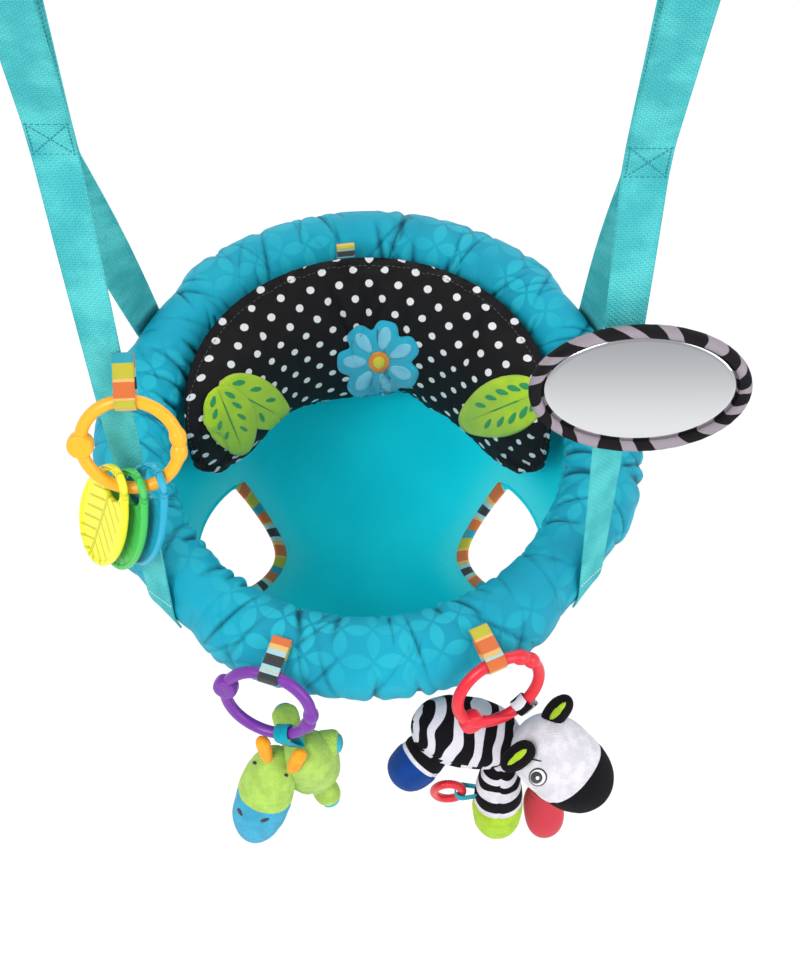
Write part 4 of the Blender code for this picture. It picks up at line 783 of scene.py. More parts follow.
for i in range(RING_ROWS):
    out = heading(azimuth[i, 0])
    row = []
    for j in range(RING_COLUMNS):
        turn = math.radians(angle[0, j])
        row.append(out * RING_RADIUS + turned(out, Z_AXIS, turn) * radius[i, j])
    for j in range(BORE_COLUMNS):
        turn = math.radians(270 - 4 * SLIT_DEG - (360 - 8 * SLIT_DEG) * j / (BORE_COLUMNS - 1))
        row.append(out * RING_RADIUS + turned(out, Z_AXIS, turn) * BORE)
    rows.append(row)
ring_pad = surface("ring_pad", rows, ring_cloth, loop=True, ring=True)
# Painted shade: how far each point lies in a fold's valley, which darkens the cloth's colour there.
crease_shade_share = np.zeros((RING_ROWS, len(rows[0])))
crease_shade_share[:, :RING_COLUMNS] = np.clip(-fold / CREASE_SHADE_DEPTH - CREASE_SHADE_FROM, 0, CREASE_SHADE_MOST)
ring_pad.data.attributes.new("crease_shade", "FLOAT", "POINT").data.foreach_set("value", crease_shade_share.ravel())
settle(ring_pad, "seat", "ring_cloth", "ring_pad")
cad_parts["ring_hoop"].data.materials.clear()
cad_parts["ring_hoop"].data.materials.append(hoop_plastic)

# %% [markdown]
# ## The seat
# The sling is a smooth basket of cloth that is sewn under the ring and has an oval hole for each leg. It is
# one curved sheet: a superellipse turned round the seat's middle, with a collar that is sewn in under the
# pad. The faces inside each leg hole are left out, and the striped binding folds over the raw edge, so the
# edge itself can't be seen.

# %% Sling
SLING_DEPTH, SLING_RADIUS, SLING_TOP, SLING_CLOTH = 0.180, 0.15796, -0.0241, 0.0012
SLING_SHARE_TOP, SLING_SHARE_LOW, SLING_ROWS, SLING_COLUMNS = 2.6, 2.0, 110, 288
SLING_TURN_FROM, SLING_TURN_SHARE, ROWS_BUNCHED, ROWS_BUNCH_POWER = 0.0015, 0.995, 0.35, 2.2
SLING_FLAT_RADIUS, SLING_FLAT_LENGTH, RIPPLE, RIPPLE_DEG = 0.13, 0.28, 0.0011, 7
COLLAR_OUT, COLLAR_UP = 0.004, 0.013
HOLE_AT_DEG, HOLE_AT_SHARE, HOLE_HALF_DEG, HOLE_HALF_SHARE = -3.5, 0.41, 23.5, 0.25
HOLE_TOP_SHARE, HOLE_TOP_SLOPE, HOLE_METRES_PER_DEG, SLING_ARC = 0.352, 0.0046, 0.0020, 0.245
PALE_REACH, PALE_STEPS, LEG_SIDES, HOLE_CUT, HOLE_SEARCH_SHIFT = 0.044, 11, (-1, 1), 0.001, 0.07


def sling_point(azimuth_deg, turn):
    """Point on the sling, and the way into the seat there."""
    out = heading(azimuth_deg)
    spots = []
    for t in (turn, turn + 0.004):
        t = min(max(t, 0.0), math.pi / 2)
        low = SLING_TOP - SLING_DEPTH * math.sin(t) ** (2 / SLING_SHARE_TOP)
        spots.append(Vector((SLING_RADIUS * math.cos(t) ** (2 / SLING_SHARE_LOW), low)))
    run = (spots[1] - spots[0]).normalized() if (spots[1] - spots[0]).length > 1e-7 else Vector((-1, 0))
    return out * spots[0].x + Z_AXIS * spots[0].y, (out * run.y - Z_AXIS * run.x).normalized()


def hole_place(point, side):
    """Degrees behind the seat's side, share of the depth, and that share's distance to the hole's top."""
    aside = math.degrees(math.atan2(point.y, side * point.x))
    level = max(0, (SLING_TOP - point.z) / SLING_DEPTH)
    depth = math.asin(min(1, level ** (SLING_SHARE_TOP / 2))) / (math.pi / 2)
    return aside, depth, depth - HOLE_TOP_SHARE - HOLE_TOP_SLOPE * aside


def in_leg_hole(point, side, growth):
    """Whether a point is inside a leg hole that is grown a little: an oval with a straight upper edge."""
    aside, depth, from_top = hole_place(point, side)
    wide, high = HOLE_HALF_DEG + growth / HOLE_METRES_PER_DEG, HOLE_HALF_SHARE + growth / SLING_ARC
    if from_top < -growth / SLING_ARC:
        return False
    return ((aside - HOLE_AT_DEG) / wide) ** 2 + ((depth - HOLE_AT_SHARE) / high) ** 2 < 1


def paleness(point):
    """How much lighter the sling's colour is at a point, from 0 to 1: it is lighter beside the leg holes."""
    growths = [PALE_REACH / PALE_STEPS * k for k in range(PALE_STEPS)]
    grown = next((g for g in growths if any(in_leg_hole(point, side, g) for side in LEG_SIDES)), PALE_REACH)
    return ease(1 - grown / PALE_REACH)


bm = bmesh.new()
uv = bm.loops.layers.uv.new("UVMap")
pale = bm.verts.layers.float.new("pale")
grid = []
for i in range(-1, SLING_ROWS + 1):
    share = max(i, 0) / SLING_ROWS
    bunched = ROWS_BUNCHED * share**ROWS_BUNCH_POWER + (1 - ROWS_BUNCHED) * share
    turn = math.pi / 2 * bunched * SLING_TURN_SHARE + SLING_TURN_FROM
    row = []
    for j in range(SLING_COLUMNS):
        azimuth_deg = 360 * j / SLING_COLUMNS
        point, face = sling_point(azimuth_deg, turn)
        if i < 0:
            point += heading(azimuth_deg) * COLLAR_OUT + Z_AXIS * COLLAR_UP
        ripple = RIPPLE * noise(Vector((azimuth_deg / RIPPLE_DEG, share * 3, 5)))
        ripple *= ease(3 * share) * (1 - share) ** 2
        row.append(bm.verts.new(SEAT + point + face * ripple))
        row[-1][pale] = paleness(point)
    grid.append(row)
for i in range(SLING_ROWS + 1):
    for j in range(SLING_COLUMNS):
        corners = ((i, j), (i, j + 1), (i + 1, j + 1), (i + 1, j))
        verts = [grid[a][b % SLING_COLUMNS] for a, b in corners]
        middle = sum((v.co for v in verts), Vector()) / 4 - SEAT
        if any(in_leg_hole(middle, side, HOLE_CUT) for side in LEG_SIDES):
            continue
        face = bm.faces.new(verts)
        face.smooth = True
        for corner, (a, b) in zip(face.loops, corners):
            turned_by, down_share = b / SLING_COLUMNS * math.tau, a / SLING_ROWS
            corner[uv].uv = (turned_by * SLING_FLAT_RADIUS, down_share * SLING_FLAT_LENGTH)
pole = bm.verts.new(SEAT + Z_AXIS * (SLING_TOP - SLING_DEPTH))
for j in range(SLING_COLUMNS):
    face = bm.faces.new((grid[-1][j], grid[-1][(j + 1) % SLING_COLUMNS], pole))
    face.smooth = True
bmesh.ops.delete(bm, geom=[v for v in bm.verts if not v.link_faces], context="VERTS")
sling = put("seat_sling", bm, sling_cloth)
print("sling area", round(sum(f.area for f in sling.data.polygons), 4))
wall = sling.modifiers.new("wall", "SOLIDIFY")
wall.thickness = SLING_CLOTH
wall.offset = 0
# The outer shell takes the darker copy of the cloth, and the inner shell takes the brightened copy, which is
# painted light.
sling.data.materials.append(sling_back)
wall.material_offset = 1
settle(sling, "seat", "sling_cloth", "seat_sling")


# %% Striped bindings on the leg holes
def hole_edge(side, growth, around):
    """Point on the sling where a grown leg hole ends, in a direction round it, and the way into the seat."""
    middle = HOLE_AT_DEG if side > 0 else 180 - HOLE_AT_DEG
    near, far = 0.0, 1.0
    for _ in range(26):
        reach = (near + far) / 2
        share = HOLE_AT_SHARE + HOLE_SEARCH_SHIFT + reach * math.sin(around)
        turn = math.pi / 2 * min(max(share, 0.002), 0.99)
        point, face = sling_point(middle + 90 * reach * math.cos(around), turn)
        if in_leg_hole(point, side, growth):
            near = reach
        else:
            far = reach
    return point, face


BINDING_PROFILE = [
    (-0.0010, 0.0000), (-0.0006, 0.0013), (0.0010, 0.0022), (0.0050, 0.0023), (0.0085, 0.0020),
    (0.0095, 0.0009), (0.0095, -0.0009), (0.0085, -0.0020), (0.0050, -0.0022), (0.0010, -0.0022),
    (-0.0006, -0.0013),
]
BINDING_STEPS, BINDING_INNER, BINDING_MIDDLE, BINDING_OUTER = 150, -0.001, 0.0045, 0.0095
HEM_SLIM, HEM_FADE = 0.66, 0.03
for name, side in (("leg_binding_left", -1), ("leg_binding_right", 1)):
    rows, hem = [], []
    for i in range(BINDING_STEPS):
        around = math.tau * i / BINDING_STEPS
        growths = (BINDING_INNER, BINDING_MIDDLE, BINDING_OUTER)
        edges = {growth: hole_edge(side, growth, around) for growth in growths}
        row = []
        from_top = abs(hole_place(hole_edge(side, 0.0, around)[0], side)[2])
        hem.append(1 - ease(from_top / HEM_FADE))
        for growth, rise in BINDING_PROFILE:
            slim = 1 - HEM_SLIM * hem[-1]
            growth, rise = (growth - BINDING_INNER) * slim + BINDING_INNER, rise * slim
            low, high = growths[:2] if growth < BINDING_MIDDLE else growths[1:]
            share = (growth - low) / (high - low)
            face = edges[low][1].lerp(edges[high][1], share).normalized()
            row.append(edges[low][0].lerp(edges[high][0], share) + face * rise)
        rows.append(row)
    binding = surface(name, rows, stripe, loop=True, ring=True)
    binding.data.materials.append(sling_cloth)
    for face in binding.data.polygons:
        face.material_index = int(hem[min(face.index // len(BINDING_PROFILE), len(hem) - 1)] > 0.5)
    settle(binding, "seat", "stripe", name)

# %% [markdown]
# ## The back pillow
# A crescent cushion leans on the back wall of the seat: flat behind, crowned in front, with a seam along
# its top and its lower edge. Its skin is a fine grid over the frame's own outline. Blender's cloth, blown
# up with a little pressure while both seams and the back are held, makes the cloth bulge and pucker between
# them; the creases that the sewn patches pull into the cloth are pressed in afterwards, because a
# simulation doesn't know of the patches.

# %% Cloth under pressure
CLOTH_QUALITY, CLOTH_MASS, CLOTH_BENDING, CLOTH_SHRINK, CLOTH_FRAMES = 6, 0.15, 0.1, -0.05, 20


def plumped(piece, held, pressure, cap):
    """Blows a piece up with Blender's cloth; held weighs each point, cap is the most that one may move."""
    pins = piece.vertex_groups.new(name="held")
    for index, weight in enumerate(held):
        if weight > 0:
            pins.add([index], weight, "REPLACE")
    cloth = piece.modifiers.new("cloth", "CLOTH")
    settings = cloth.settings
    settings.quality = CLOTH_QUALITY
    settings.mass = CLOTH_MASS
    settings.bending_stiffness = CLOTH_BENDING
    settings.use_pressure = True
    settings.uniform_pressure_force = pressure
    settings.effector_weights.gravity = 0
    settings.shrink_min = CLOTH_SHRINK
    settings.vertex_group_mass = pins.name
    cloth.collision_settings.use_collision = False
    for step in range(1, CLOTH_FRAMES + 1):
        bpy.context.scene.frame_set(step)
    blown = [v.co.copy() for v in piece.evaluated_get(bpy.context.evaluated_depsgraph_get()).data.vertices]
    piece.modifiers.remove(cloth)
    piece.vertex_groups.remove(pins)
    bpy.context.scene.frame_set(1)
    moved = 0.0
    for vert, place in zip(piece.data.vertices, blown):
        shift = place - vert.co
        moved = max(moved, shift.length)
        vert.co += shift * min(1, cap / max(shift.length, 1e-9))
    print(piece.name, "swelled by up to", round(moved * 1000, 1), "mm before the cap")


def pressed(piece, depth_at):
    """Moves each point of a grid's mesh along its normal by a function of its index."""
    piece.data.update()
    shifts = [vert.normal * depth_at(vert.index) for vert in piece.data.vertices]
    for vert, shift in zip(piece.data.vertices, shifts):
        vert.co += shift


def skin_of(piece):
    """Search tree over a piece's mesh."""
    bm = bmesh.new()
    bm.from_mesh(piece.data)
    found = BVHTree.FromBMesh(bm)
    bm.free()
    return found


# %% Pillow
PILLOW_FROM_DEG, PILLOW_TO_DEG, PILLOW_THICK, PILLOW_BACK = 2.0, 178.0, 0.040, 0.029
PILLOW_TOP, PILLOW_LOW = Vector((0.1458, 0.031)), Vector((0.121, -0.115))
PILLOW_END_SHARE, PILLOW_CREASE_SHARE, PILLOW_SLIM, SEAM_FROM_EDGE = 5.0, 0.8, 0.0015, 0.0095
PILLOW_ROWS, PILLOW_COLUMNS, PILLOW_FLAT_RADIUS, PILLOW_FLAT_SPAN = 200, 64, 0.400, 1.12
slope = (PILLOW_TOP - PILLOW_LOW).normalized()
half_height = (PILLOW_TOP - PILLOW_LOW).length / 2
section_middle = (PILLOW_TOP + PILLOW_LOW) / 2


def pillow_point(share, turn):
    """Point of the pillow's skin; share runs from end to end, turn from the top seam down over the front."""
    out = heading(PILLOW_FROM_DEG + (PILLOW_TO_DEG - PILLOW_FROM_DEG) * share)
    fade = (1 - abs(2 * share - 1) ** PILLOW_END_SHARE) ** 0.5
    c, s = math.cos(turn), math.sin(turn)
    along = (half_height - PILLOW_SLIM) * fade * math.copysign(abs(c) ** PILLOW_CREASE_SHARE, c)
    plump = PILLOW_THICK - PILLOW_SLIM if s > 0 else PILLOW_BACK * (1 - c) / 2
    depth = s * plump * fade
    radius = section_middle.x + slope.x * along - slope.y * depth
    return out * radius + Z_AXIS * (section_middle.y + slope.y * along + slope.x * depth)


shares = [(1 - math.cos(math.pi * k / PILLOW_ROWS)) / 2 for k in range(1, PILLOW_ROWS)]
turns = [math.tau * (j / PILLOW_COLUMNS) for j in range(PILLOW_COLUMNS)]
rows = [[pillow_point(share, turn) for turn in turns] for share in shares]
half_way = PILLOW_COLUMNS // 2
rounds = [lengths([(point,) for point in row], True) for row in rows]
down = rounds[len(rows) // 2]
endwise = lengths([(row[half_way // 2],) for row in rows], False)


def cut_flat(row, column):
    """Place in the flat crescent that the front was cut from; the back mirrors it from the top seam."""
    row = min(row, len(rows) - 1)
    reach = rounds[row][column] if column <= half_way else rounds[row][PILLOW_COLUMNS] - rounds[row][column]
    reach += (down[half_way] - rounds[row][half_way]) / 2
    turn = (endwise[row] / endwise[-1] - 0.5) * PILLOW_FLAT_SPAN
    return (PILLOW_FLAT_RADIUS - reach) * math.sin(turn), (PILLOW_FLAT_RADIUS - reach) * math.cos(turn)


back_pillow = surface("back_pillow", rows, pillow_cloth, ring=True, caps=True, flat=cut_flat)
held = []
for row in range(len(rows)):
    for column in range(PILLOW_COLUMNS):
        from_seam = min(column, abs(column - half_way))
        held.append(1.0 if column > half_way else 0.9 if from_seam < 1 else 0.0)
plumped(back_pillow, held, pressure=4.0, cap=0.004)

draw = np.random.default_rng(5)
puckers = [(draw.uniform(0.02, 0.98), draw.uniform(0.3, 1.0), draw.uniform(-0.03, 0.03)) for _ in range(64)]
tugs = [
    (0.535, 0.0021, 0.008, 1.5), (0.503, 0.0016, 0.007, 1.4), (0.575, 0.0012, 0.007, 0.9),
    (0.44, 0.0014, 0.008, 1.2), (0.36, 0.0010, 0.009, 0.8), (0.66, 0.0010, 0.008, 0.9),
]
LOW_PUCKER, LOW_PUCKER_WIDE, LOW_PUCKER_TURN, LOW_PUCKER_FADE = 0.0026, 0.0055, 1.9, 1.1
TOP_PUCKER, TOP_PUCKER_WIDE, TOP_PUCKER_TURN, TOP_PUCKER_FADE = 0.0011, 0.0040, 0.75, 0.7
TUG_TURN, TUG_WAVE, SEAM_WIDE, SEAM_DEPTH = 1.1, 0.01, 0.0016, 0.0009


def bell(distance):
    """Bell curve, 1 at no distance."""
    return math.exp(-(distance**2))


def pillow_crease(index):
    """Depth of the seams' puckers and of the creases round the middle patch at one point."""
    row, column = divmod(index, PILLOW_COLUMNS)
    if column > half_way or row >= len(shares):
        return 0.0
    share, turn = shares[row], turns[column]
    depth = 0.0
    for place, strength, lean in puckers:
        low = bell((share - place - lean * (math.pi - turn)) / LOW_PUCKER_WIDE)
        low *= ease((turn - LOW_PUCKER_TURN) / LOW_PUCKER_FADE)
        top = bell((share - place * 0.97 - 0.01 - lean * turn) / TOP_PUCKER_WIDE)
        top *= ease((TOP_PUCKER_TURN - turn) / TOP_PUCKER_FADE)
        depth -= strength * (LOW_PUCKER * low + TOP_PUCKER * top)
    for place, strength, wide, reach in tugs:
        window = ease(1 - abs(turn - TUG_TURN) / reach)
        depth -= strength * window * math.exp(-abs(share - place - TUG_WAVE * math.sin(3 * turn)) / wide)
    return depth - SEAM_DEPTH * bell((down[column] - SEAM_FROM_EDGE) / SEAM_WIDE)


pillow_skin = skin_of(back_pillow)
pressed(back_pillow, pillow_crease)
seam = min(range(half_way), key=lambda column: abs(down[column] - SEAM_FROM_EDGE))
seam_line = []
for row in range(6, len(shares) - 6):
    vert = back_pillow.data.vertices[row * PILLOW_COLUMNS + seam]
    seam_line.append(vert.co - SEAT + vert.normal * 0.0004)
settle(back_pillow, "seat", "pillow_cloth", "back_pillow")

# %% [markdown]
# ## Patches
# Thin padded patches are sewn on the pillow: a pair of leaves on the left, a blossom in the middle and a
# leaf on the right. Each is drawn as a flat outline in the photograph's own picture plane and thrown on to
# the plump pillow along the camera's rays, so it lies where the photograph's patch lies and bridges the
# creases. Midribs, drops and petals are printed on: they are thrown on to the patch in the same way, a hair
# higher.

# %% Rays through the photograph
PICTURE_MIDDLE = Vector((400, 489))
look = camera.rotation_euler.to_matrix()


def thrown(target, px, py):
    """Point in seat coordinates and normal where the ray through a pixel of the photograph meets a piece."""
    way = look @ Vector(((px - PICTURE_MIDDLE.x) / FOCAL_PX, (PICTURE_MIDDLE.y - py) / FOCAL_PX, -1))
    point, normal, _, _ = target.ray_cast(SEAT + CAMERA_FROM_SEAT, way.normalized())
    if point is None:
        return None
    return point - SEAT, normal


PATCH_PUFF, PRINT_LIFT, PRINT_PUFF, EDGE_DOWN = 0.0012, 0.0004, 0.0001, 0.0006


def appliqued(name, target, middle, reach_at, material, lift, puff, rings=14, spokes=96, turn_deg=0.0):
    """Thin padded shape on a piece: reach_at gives its outline, in pixels, from the middle each way."""
    tilt = math.radians(turn_deg)
    rows = []
    for i in range(rings + 1):
        share = i / rings
        row = []
        for j in range(spokes):
            angle = math.tau * j / spokes
            reach = reach_at(angle) * max(share, 0.002)
            px = middle[0] + reach * math.cos(angle + tilt)
            py = middle[1] - reach * math.sin(angle + tilt)
            row.append(thrown(target, px, py) or (row[-1] if row else rows[-1][j]))
        rows.append(row)
    edge = [[p + n * (lift - EDGE_DOWN) for p, n in rows[-1]]]
    skin = []
    for i, row in enumerate(rows):
        height = lift + puff * (1 - (i / rings) ** 6) ** 0.5
        skin.append([p + n * height for p, n in row])
    scale = CAMERA_FROM_SEAT.length / FOCAL_PX

    def flat_place(a, b):
        """Place in the cloth, in metres, from the outline in pixels."""
        angle = math.tau * b / spokes
        reach = reach_at(angle) * min(a, rings) / rings * scale
        return reach * math.cos(angle), reach * math.sin(angle)

    return surface(name, skin + edge, material, ring=True, caps=True, flat=flat_place)


def printed(name, target, middle, reach_at, material, rings, spokes, turn_deg=0.0):
    """Flat print on a piece, a hair above it."""
    return appliqued(
        name, target, middle, reach_at, material, PRINT_LIFT, PRINT_PUFF, rings, spokes, turn_deg
    )


def round_reach(radius):
    """Outline of a disc."""
    return lambda angle: radius


def oval_reach(half_long, half_wide):
    """Outline of an oval that lies along X."""
    return lambda angle: 1 / ((math.cos(angle) / half_long) ** 2 + (math.sin(angle) / half_wide) ** 2) ** 0.5


LEAF_TIP, LEAF_TIP_POWER, DROP_POINT = 0.16, 12, 0.30


def leaf_reach(length, width):
    """Outline of a broad leaf whose tip lies along +X."""
    rounded = oval_reach(length / 2, width / 2)
    return lambda angle: rounded(angle) * (1 + LEAF_TIP * max(0, math.cos(angle)) ** LEAF_TIP_POWER)


def bloom_reach(petals_count, radius, depth):
    """Outline of a round blossom."""
    return lambda angle: radius * (1 - depth * (0.5 + 0.5 * math.cos(petals_count * angle)) ** 3)


def drop_reach(length, width):
    """Outline of a drop whose point lies along +X."""
    rounded = oval_reach(length / 2, width / 2)
    return lambda angle: rounded(angle) * (1 - DROP_POINT * abs(math.sin(angle)) * max(0, math.cos(angle)))


# %% Patch colours
def cotton(name, first, second):
    """Printed cotton that wanders between two near shades."""
    material = shader(name, first, 0.7, Sheen_Weight=0.2)
    mottled(material, "UV", 60.0, first, second)
    woven(material)
    return material


patch_lime = cotton("patch_lime", (176, 210, 20), (160, 200, 28))
patch_green = cotton("patch_green", (0, 150, 84), (0, 138, 78))
patch_blue = cotton("patch_blue", (0, 168, 200), (10, 180, 208))
patch_pale = cotton("patch_pale", (134, 206, 230), (116, 198, 226))
patch_orange = cotton("patch_orange", (246, 150, 30), (240, 130, 24))
patch_yellow = cotton("patch_yellow", (244, 216, 40), (236, 206, 36))


# %% Patches on the pillow
MIDRIB_SHARE, MIDRIB_HALF_PX, DROP_SPAN, DROP_FROM, DROP_ASIDE = 0.46, 0.7, 0.74, 0.40, 0.24
DROP_DRAWN_IN, DROP_LENGTH, DROP_SHRINK, DROP_SLIM, DROP_SPLAY_DEG = 0.45, 0.19, 0.35, 0.42, 38


def leaf_patch(name, target, middle, length, width, turn_deg, drops, lift):
    """Lime leaf with a green midrib and drops on both sides of it."""
    shape = leaf_reach(length, width)
    leaf_piece = appliqued(name, target, middle, shape, patch_lime, lift, PATCH_PUFF, turn_deg=turn_deg)
    settle(leaf_piece, "seat", "pillow_cloth")
    ground = skin_of(leaf_piece)
    tilt = math.radians(turn_deg)
    c, s = math.cos(tilt), math.sin(tilt)
    rib = oval_reach(length * MIDRIB_SHARE, MIDRIB_HALF_PX)
    prints = [printed(f"{name}_rib", ground, middle, rib, patch_green, 6, 120, turn_deg)]
    for i in range(drops):
        share = (i + 0.5) / drops
        for side in (-1, 1):
            x = length * (share * DROP_SPAN - DROP_FROM)
            y = side * width * DROP_ASIDE * (1 - (2 * share - 1) ** 2 * DROP_DRAWN_IN)
            size = length * DROP_LENGTH * (1 - DROP_SHRINK * share)
            shape = drop_reach(size, size * DROP_SLIM)
            turned_deg = turn_deg + side * DROP_SPLAY_DEG + 180
            spot = (middle[0] + x * c - y * s, middle[1] - x * s - y * c)
            mark = f"{name}_{i}_{side + 1}"
            prints.append(printed(mark, ground, spot, shape, patch_green, 4, 28, turned_deg))
    settle(joined(f"{name}_print", prints), "seat", "pillow_cloth")


def joined(name, pieces):
    """One object made of several meshes that share their materials."""
    bm = bmesh.new()
    materials = []
    for piece in pieces:
        material = piece.data.materials[0]
        if material not in materials:
            materials.append(material)
        first = len(bm.faces)
        bm.from_mesh(piece.data)
        bm.faces.ensure_lookup_table()
        for face in bm.faces[first:]:
            face.material_index = materials.index(material)
        bpy.data.objects.remove(piece)
    whole = put(name, bm, materials[0])
    for material in materials[1:]:
        whole.data.materials.append(material)
    return whole


LEFT_LEAF_BACK_PX, LEFT_LEAF_PX, RIGHT_LEAF_PX, MIDDLE_PX = (252, 401), (229, 417), (505, 406), (379, 362)
LOW_LIFT, HIGH_LIFT, BLOSSOM_PETALS = 0.0006, 0.0022, 7
BLOSSOM_PX, BLOSSOM_DIP, BLOSSOM_PUFF, PETAL_OUT_PX, PETAL_PX = 42, 0.22, 0.0016, 24, (24, 13)
leaf_patch("patch_left_back", pillow_skin, LEFT_LEAF_BACK_PX, 74, 50, -28, 3, LOW_LIFT)
leaf_patch("patch_left_front", pillow_skin, LEFT_LEAF_PX, 66, 50, -68, 4, HIGH_LIFT)
leaf_patch("patch_right", pillow_skin, RIGHT_LEAF_PX, 84, 58, -158, 5, LOW_LIFT)

shape = bloom_reach(BLOSSOM_PETALS, BLOSSOM_PX, BLOSSOM_DIP)
blossom = appliqued("patch_middle", pillow_skin, MIDDLE_PX, shape, patch_blue, LOW_LIFT, BLOSSOM_PUFF)
settle(blossom, "seat", "pillow_cloth")
ground = skin_of(blossom)
prints = []
for i in range(BLOSSOM_PETALS):
    turn_deg = (i + 0.5) * 360 / BLOSSOM_PETALS
    turn = math.radians(turn_deg)
    spot = (MIDDLE_PX[0] + PETAL_OUT_PX * math.cos(turn), MIDDLE_PX[1] - PETAL_OUT_PX * math.sin(turn))
    shape = drop_reach(*PETAL_PX)
    prints.append(printed(f"petal_{i}", ground, spot, shape, patch_pale, 5, 32, turn_deg + 180))
for label, material, radius, lift in (
    ("ring", patch_orange, 10.5, 0.0007),
    ("eye", patch_yellow, 6.0, 0.0010),
):
    shape = round_reach(radius)
    prints.append(appliqued(label, ground, MIDDLE_PX, shape, material, lift, PRINT_PUFF, 5, 36))
settle(joined("patch_middle_print", prints), "seat", "pillow_cloth")

# %% [markdown]
# ## Ribbon loops
# A striped ribbon goes round the seam at its foot and round a link's bar at its head, like a belt round two
# pulleys. The stripes lie across it, so they come from how far along the ribbon a point is, and each loop
# starts at its own place in the same run of stripes.

# %% Loops
RIBBON_WIDTH, RIBBON, LINK_BAR = 0.014, 0.0010, 0.0042
LOOP_FOLD, LOOP_CLEAR, RIBBON_CLEAR = 0.002, 0.0013, 0.0015


def belt(low, low_radius, high, high_radius, axis, steps=18):
    """Stations of a band round two parallel pulleys."""
    along = (high - low).normalized()
    across = axis.cross(along)
    wrap = math.pi / 2 + math.asin((high_radius - low_radius) / (high - low).length)
    found = []
    ends = ((high, high_radius, -wrap, wrap), (low, low_radius, wrap, math.tau - wrap))
    for centre, radius, first, last in ends:
        for i in range(steps):
            out = turned(along, across, first + (last - first) * i / (steps - 1))
            found.append((centre + out * radius, out))
    return found


def loop_of(name, base, spot, axis, shift, body="seat", width=RIBBON_WIDTH, material=stripe, fold=LOOP_FOLD,
            wrap=LINK_BAR + LOOP_CLEAR + RIBBON / 2):
    """Sewn ribbon loop between a seam and a bar."""
    stations = belt(base, fold, spot, wrap, axis)
    even = resampled([*stations, stations[0]], 0.0012)[:-1]
    piece = ribbon(name, even, width, RIBBON, material, closed=True, shift=shift)
    return settle(piece, body, "stripe", name)


# %% [markdown]
# ## Links
# A link is an open ring of round bar with two clasp beads where it opens and a ridged boss across from
# them. The bar is a tube whose radius swells at the beads; the boss is a turned button with fine ridges
# across both faces.

# %% Links
LINK_RADIUS, LINK_BEAD, LINK_GAP_DEG, BEAD_DEG = 0.0315, 0.0056, 5.0, 9.0
LINK_BOSS, LINK_BOSS_THICK, RIDGE, RIDGE_PITCH, FLAT_SHARE = 0.0088, 0.0095, 0.00035, 0.0017, 0.86
LINK_STEPS, TONGUE_STEPS, BEAD_MIDDLE, BEAD_ROUND, BOSS_TURN = 150, 24, 0.6, 0.7, 0.8
TONGUE_ALONG, TONGUE_DROP, TONGUE_OUT, TONGUE_BEND = 0.95, 0.1, 2, 0.5
TONGUE_THICK, TONGUE_THINS, TONGUE_THIN_POWER = 1.3, 1.15, 0.8


def link_spot(centre, across, up, angle_deg):
    """Point on a link's bar, and the way the bar runs there."""
    turn = math.radians(angle_deg)
    return centre + turned(across, up, turn) * LINK_RADIUS, turned(up, -across, turn)


def button(name, centre, normal, side, radius, thick, material, ridges, count):
    """Turned button with rounded edges; ridges run across both of its faces."""
    up = normal.cross(side)
    flats = (0.001, 0.25, 0.5, 0.75, 0.9, 1.0)
    round_turns = [math.pi * i / 12 for i in range(1, 12)]
    profile = [(share * FLAT_SHARE, 0.5) for share in flats]
    profile += [(FLAT_SHARE + (1 - FLAT_SHARE) * math.sin(a), 0.5 * math.cos(a)) for a in round_turns]
    profile += [(share * FLAT_SHARE, -0.5) for share in reversed(flats)]
    rows = []
    for reach, rise in profile:
        row = []
        for i in range(count):
            turn = math.tau * i / count
            x, y = math.cos(turn) * radius * reach, math.sin(turn) * radius * reach
            ridge = abs(math.sin(math.pi * y / RIDGE_PITCH)) * ease((FLAT_SHARE - reach) * 8)
            lift = ridges * ridge if abs(rise) == 0.5 else 0
            row.append(centre + side * x + up * y + normal * (rise * thick + math.copysign(lift, rise)))
        rows.append(row)
    return surface(name, rows, material, ring=True, caps=True)


def link(name, body, centre, across, up, roll_deg, material, tongue=False):
    """Open plastic ring with clasp beads and a ridged boss."""
    first, last = LINK_GAP_DEG, 360 - LINK_GAP_DEG
    points, radii = [], []
    for i in range(LINK_STEPS + 1):
        angle = first + (last - first) * i / LINK_STEPS
        nearest = min(angle - first, last - angle)
        bump = max(0, 1 - ((nearest - BEAD_DEG * BEAD_MIDDLE) / BEAD_DEG) ** 2) ** BEAD_ROUND
        points.append(link_spot(centre, across, up, angle + roll_deg)[0])
        radii.append(LINK_BAR + (LINK_BEAD - LINK_BAR) * bump)
    normal = across.cross(up)
    pieces = [tube(f"{name}_bar", points, radii, material, count=20, up=normal)]
    boss, run = link_spot(centre, across, up, 180 + roll_deg)
    side = (run + (boss - centre).normalized() * BOSS_TURN).normalized()
    pieces.append(button(f"{name}_boss", boss, normal, side, LINK_BOSS, LINK_BOSS_THICK, material, RIDGE, 72))
    if tongue:
        reach = across * TONGUE_ALONG - up * TONGUE_DROP
        tip = boss + reach * LINK_RADIUS + normal * (LINK_BAR * TONGUE_OUT)
        bend = boss.lerp(tip, 0.5) + normal * (LINK_BAR * TONGUE_BEND)
        shares_here = [i / TONGUE_STEPS for i in range(TONGUE_STEPS + 1)]
        spine = [boss.lerp(bend, t).lerp(bend.lerp(tip, t), t) for t in shares_here]
        thin = [LINK_BAR * (TONGUE_THICK - TONGUE_THINS * t**TONGUE_THIN_POWER) for t in shares_here]
        pieces.append(tube(f"{name}_tongue", spine, thin, material, count=16, up=normal))
    settle(joined(name, pieces), body, name, name)


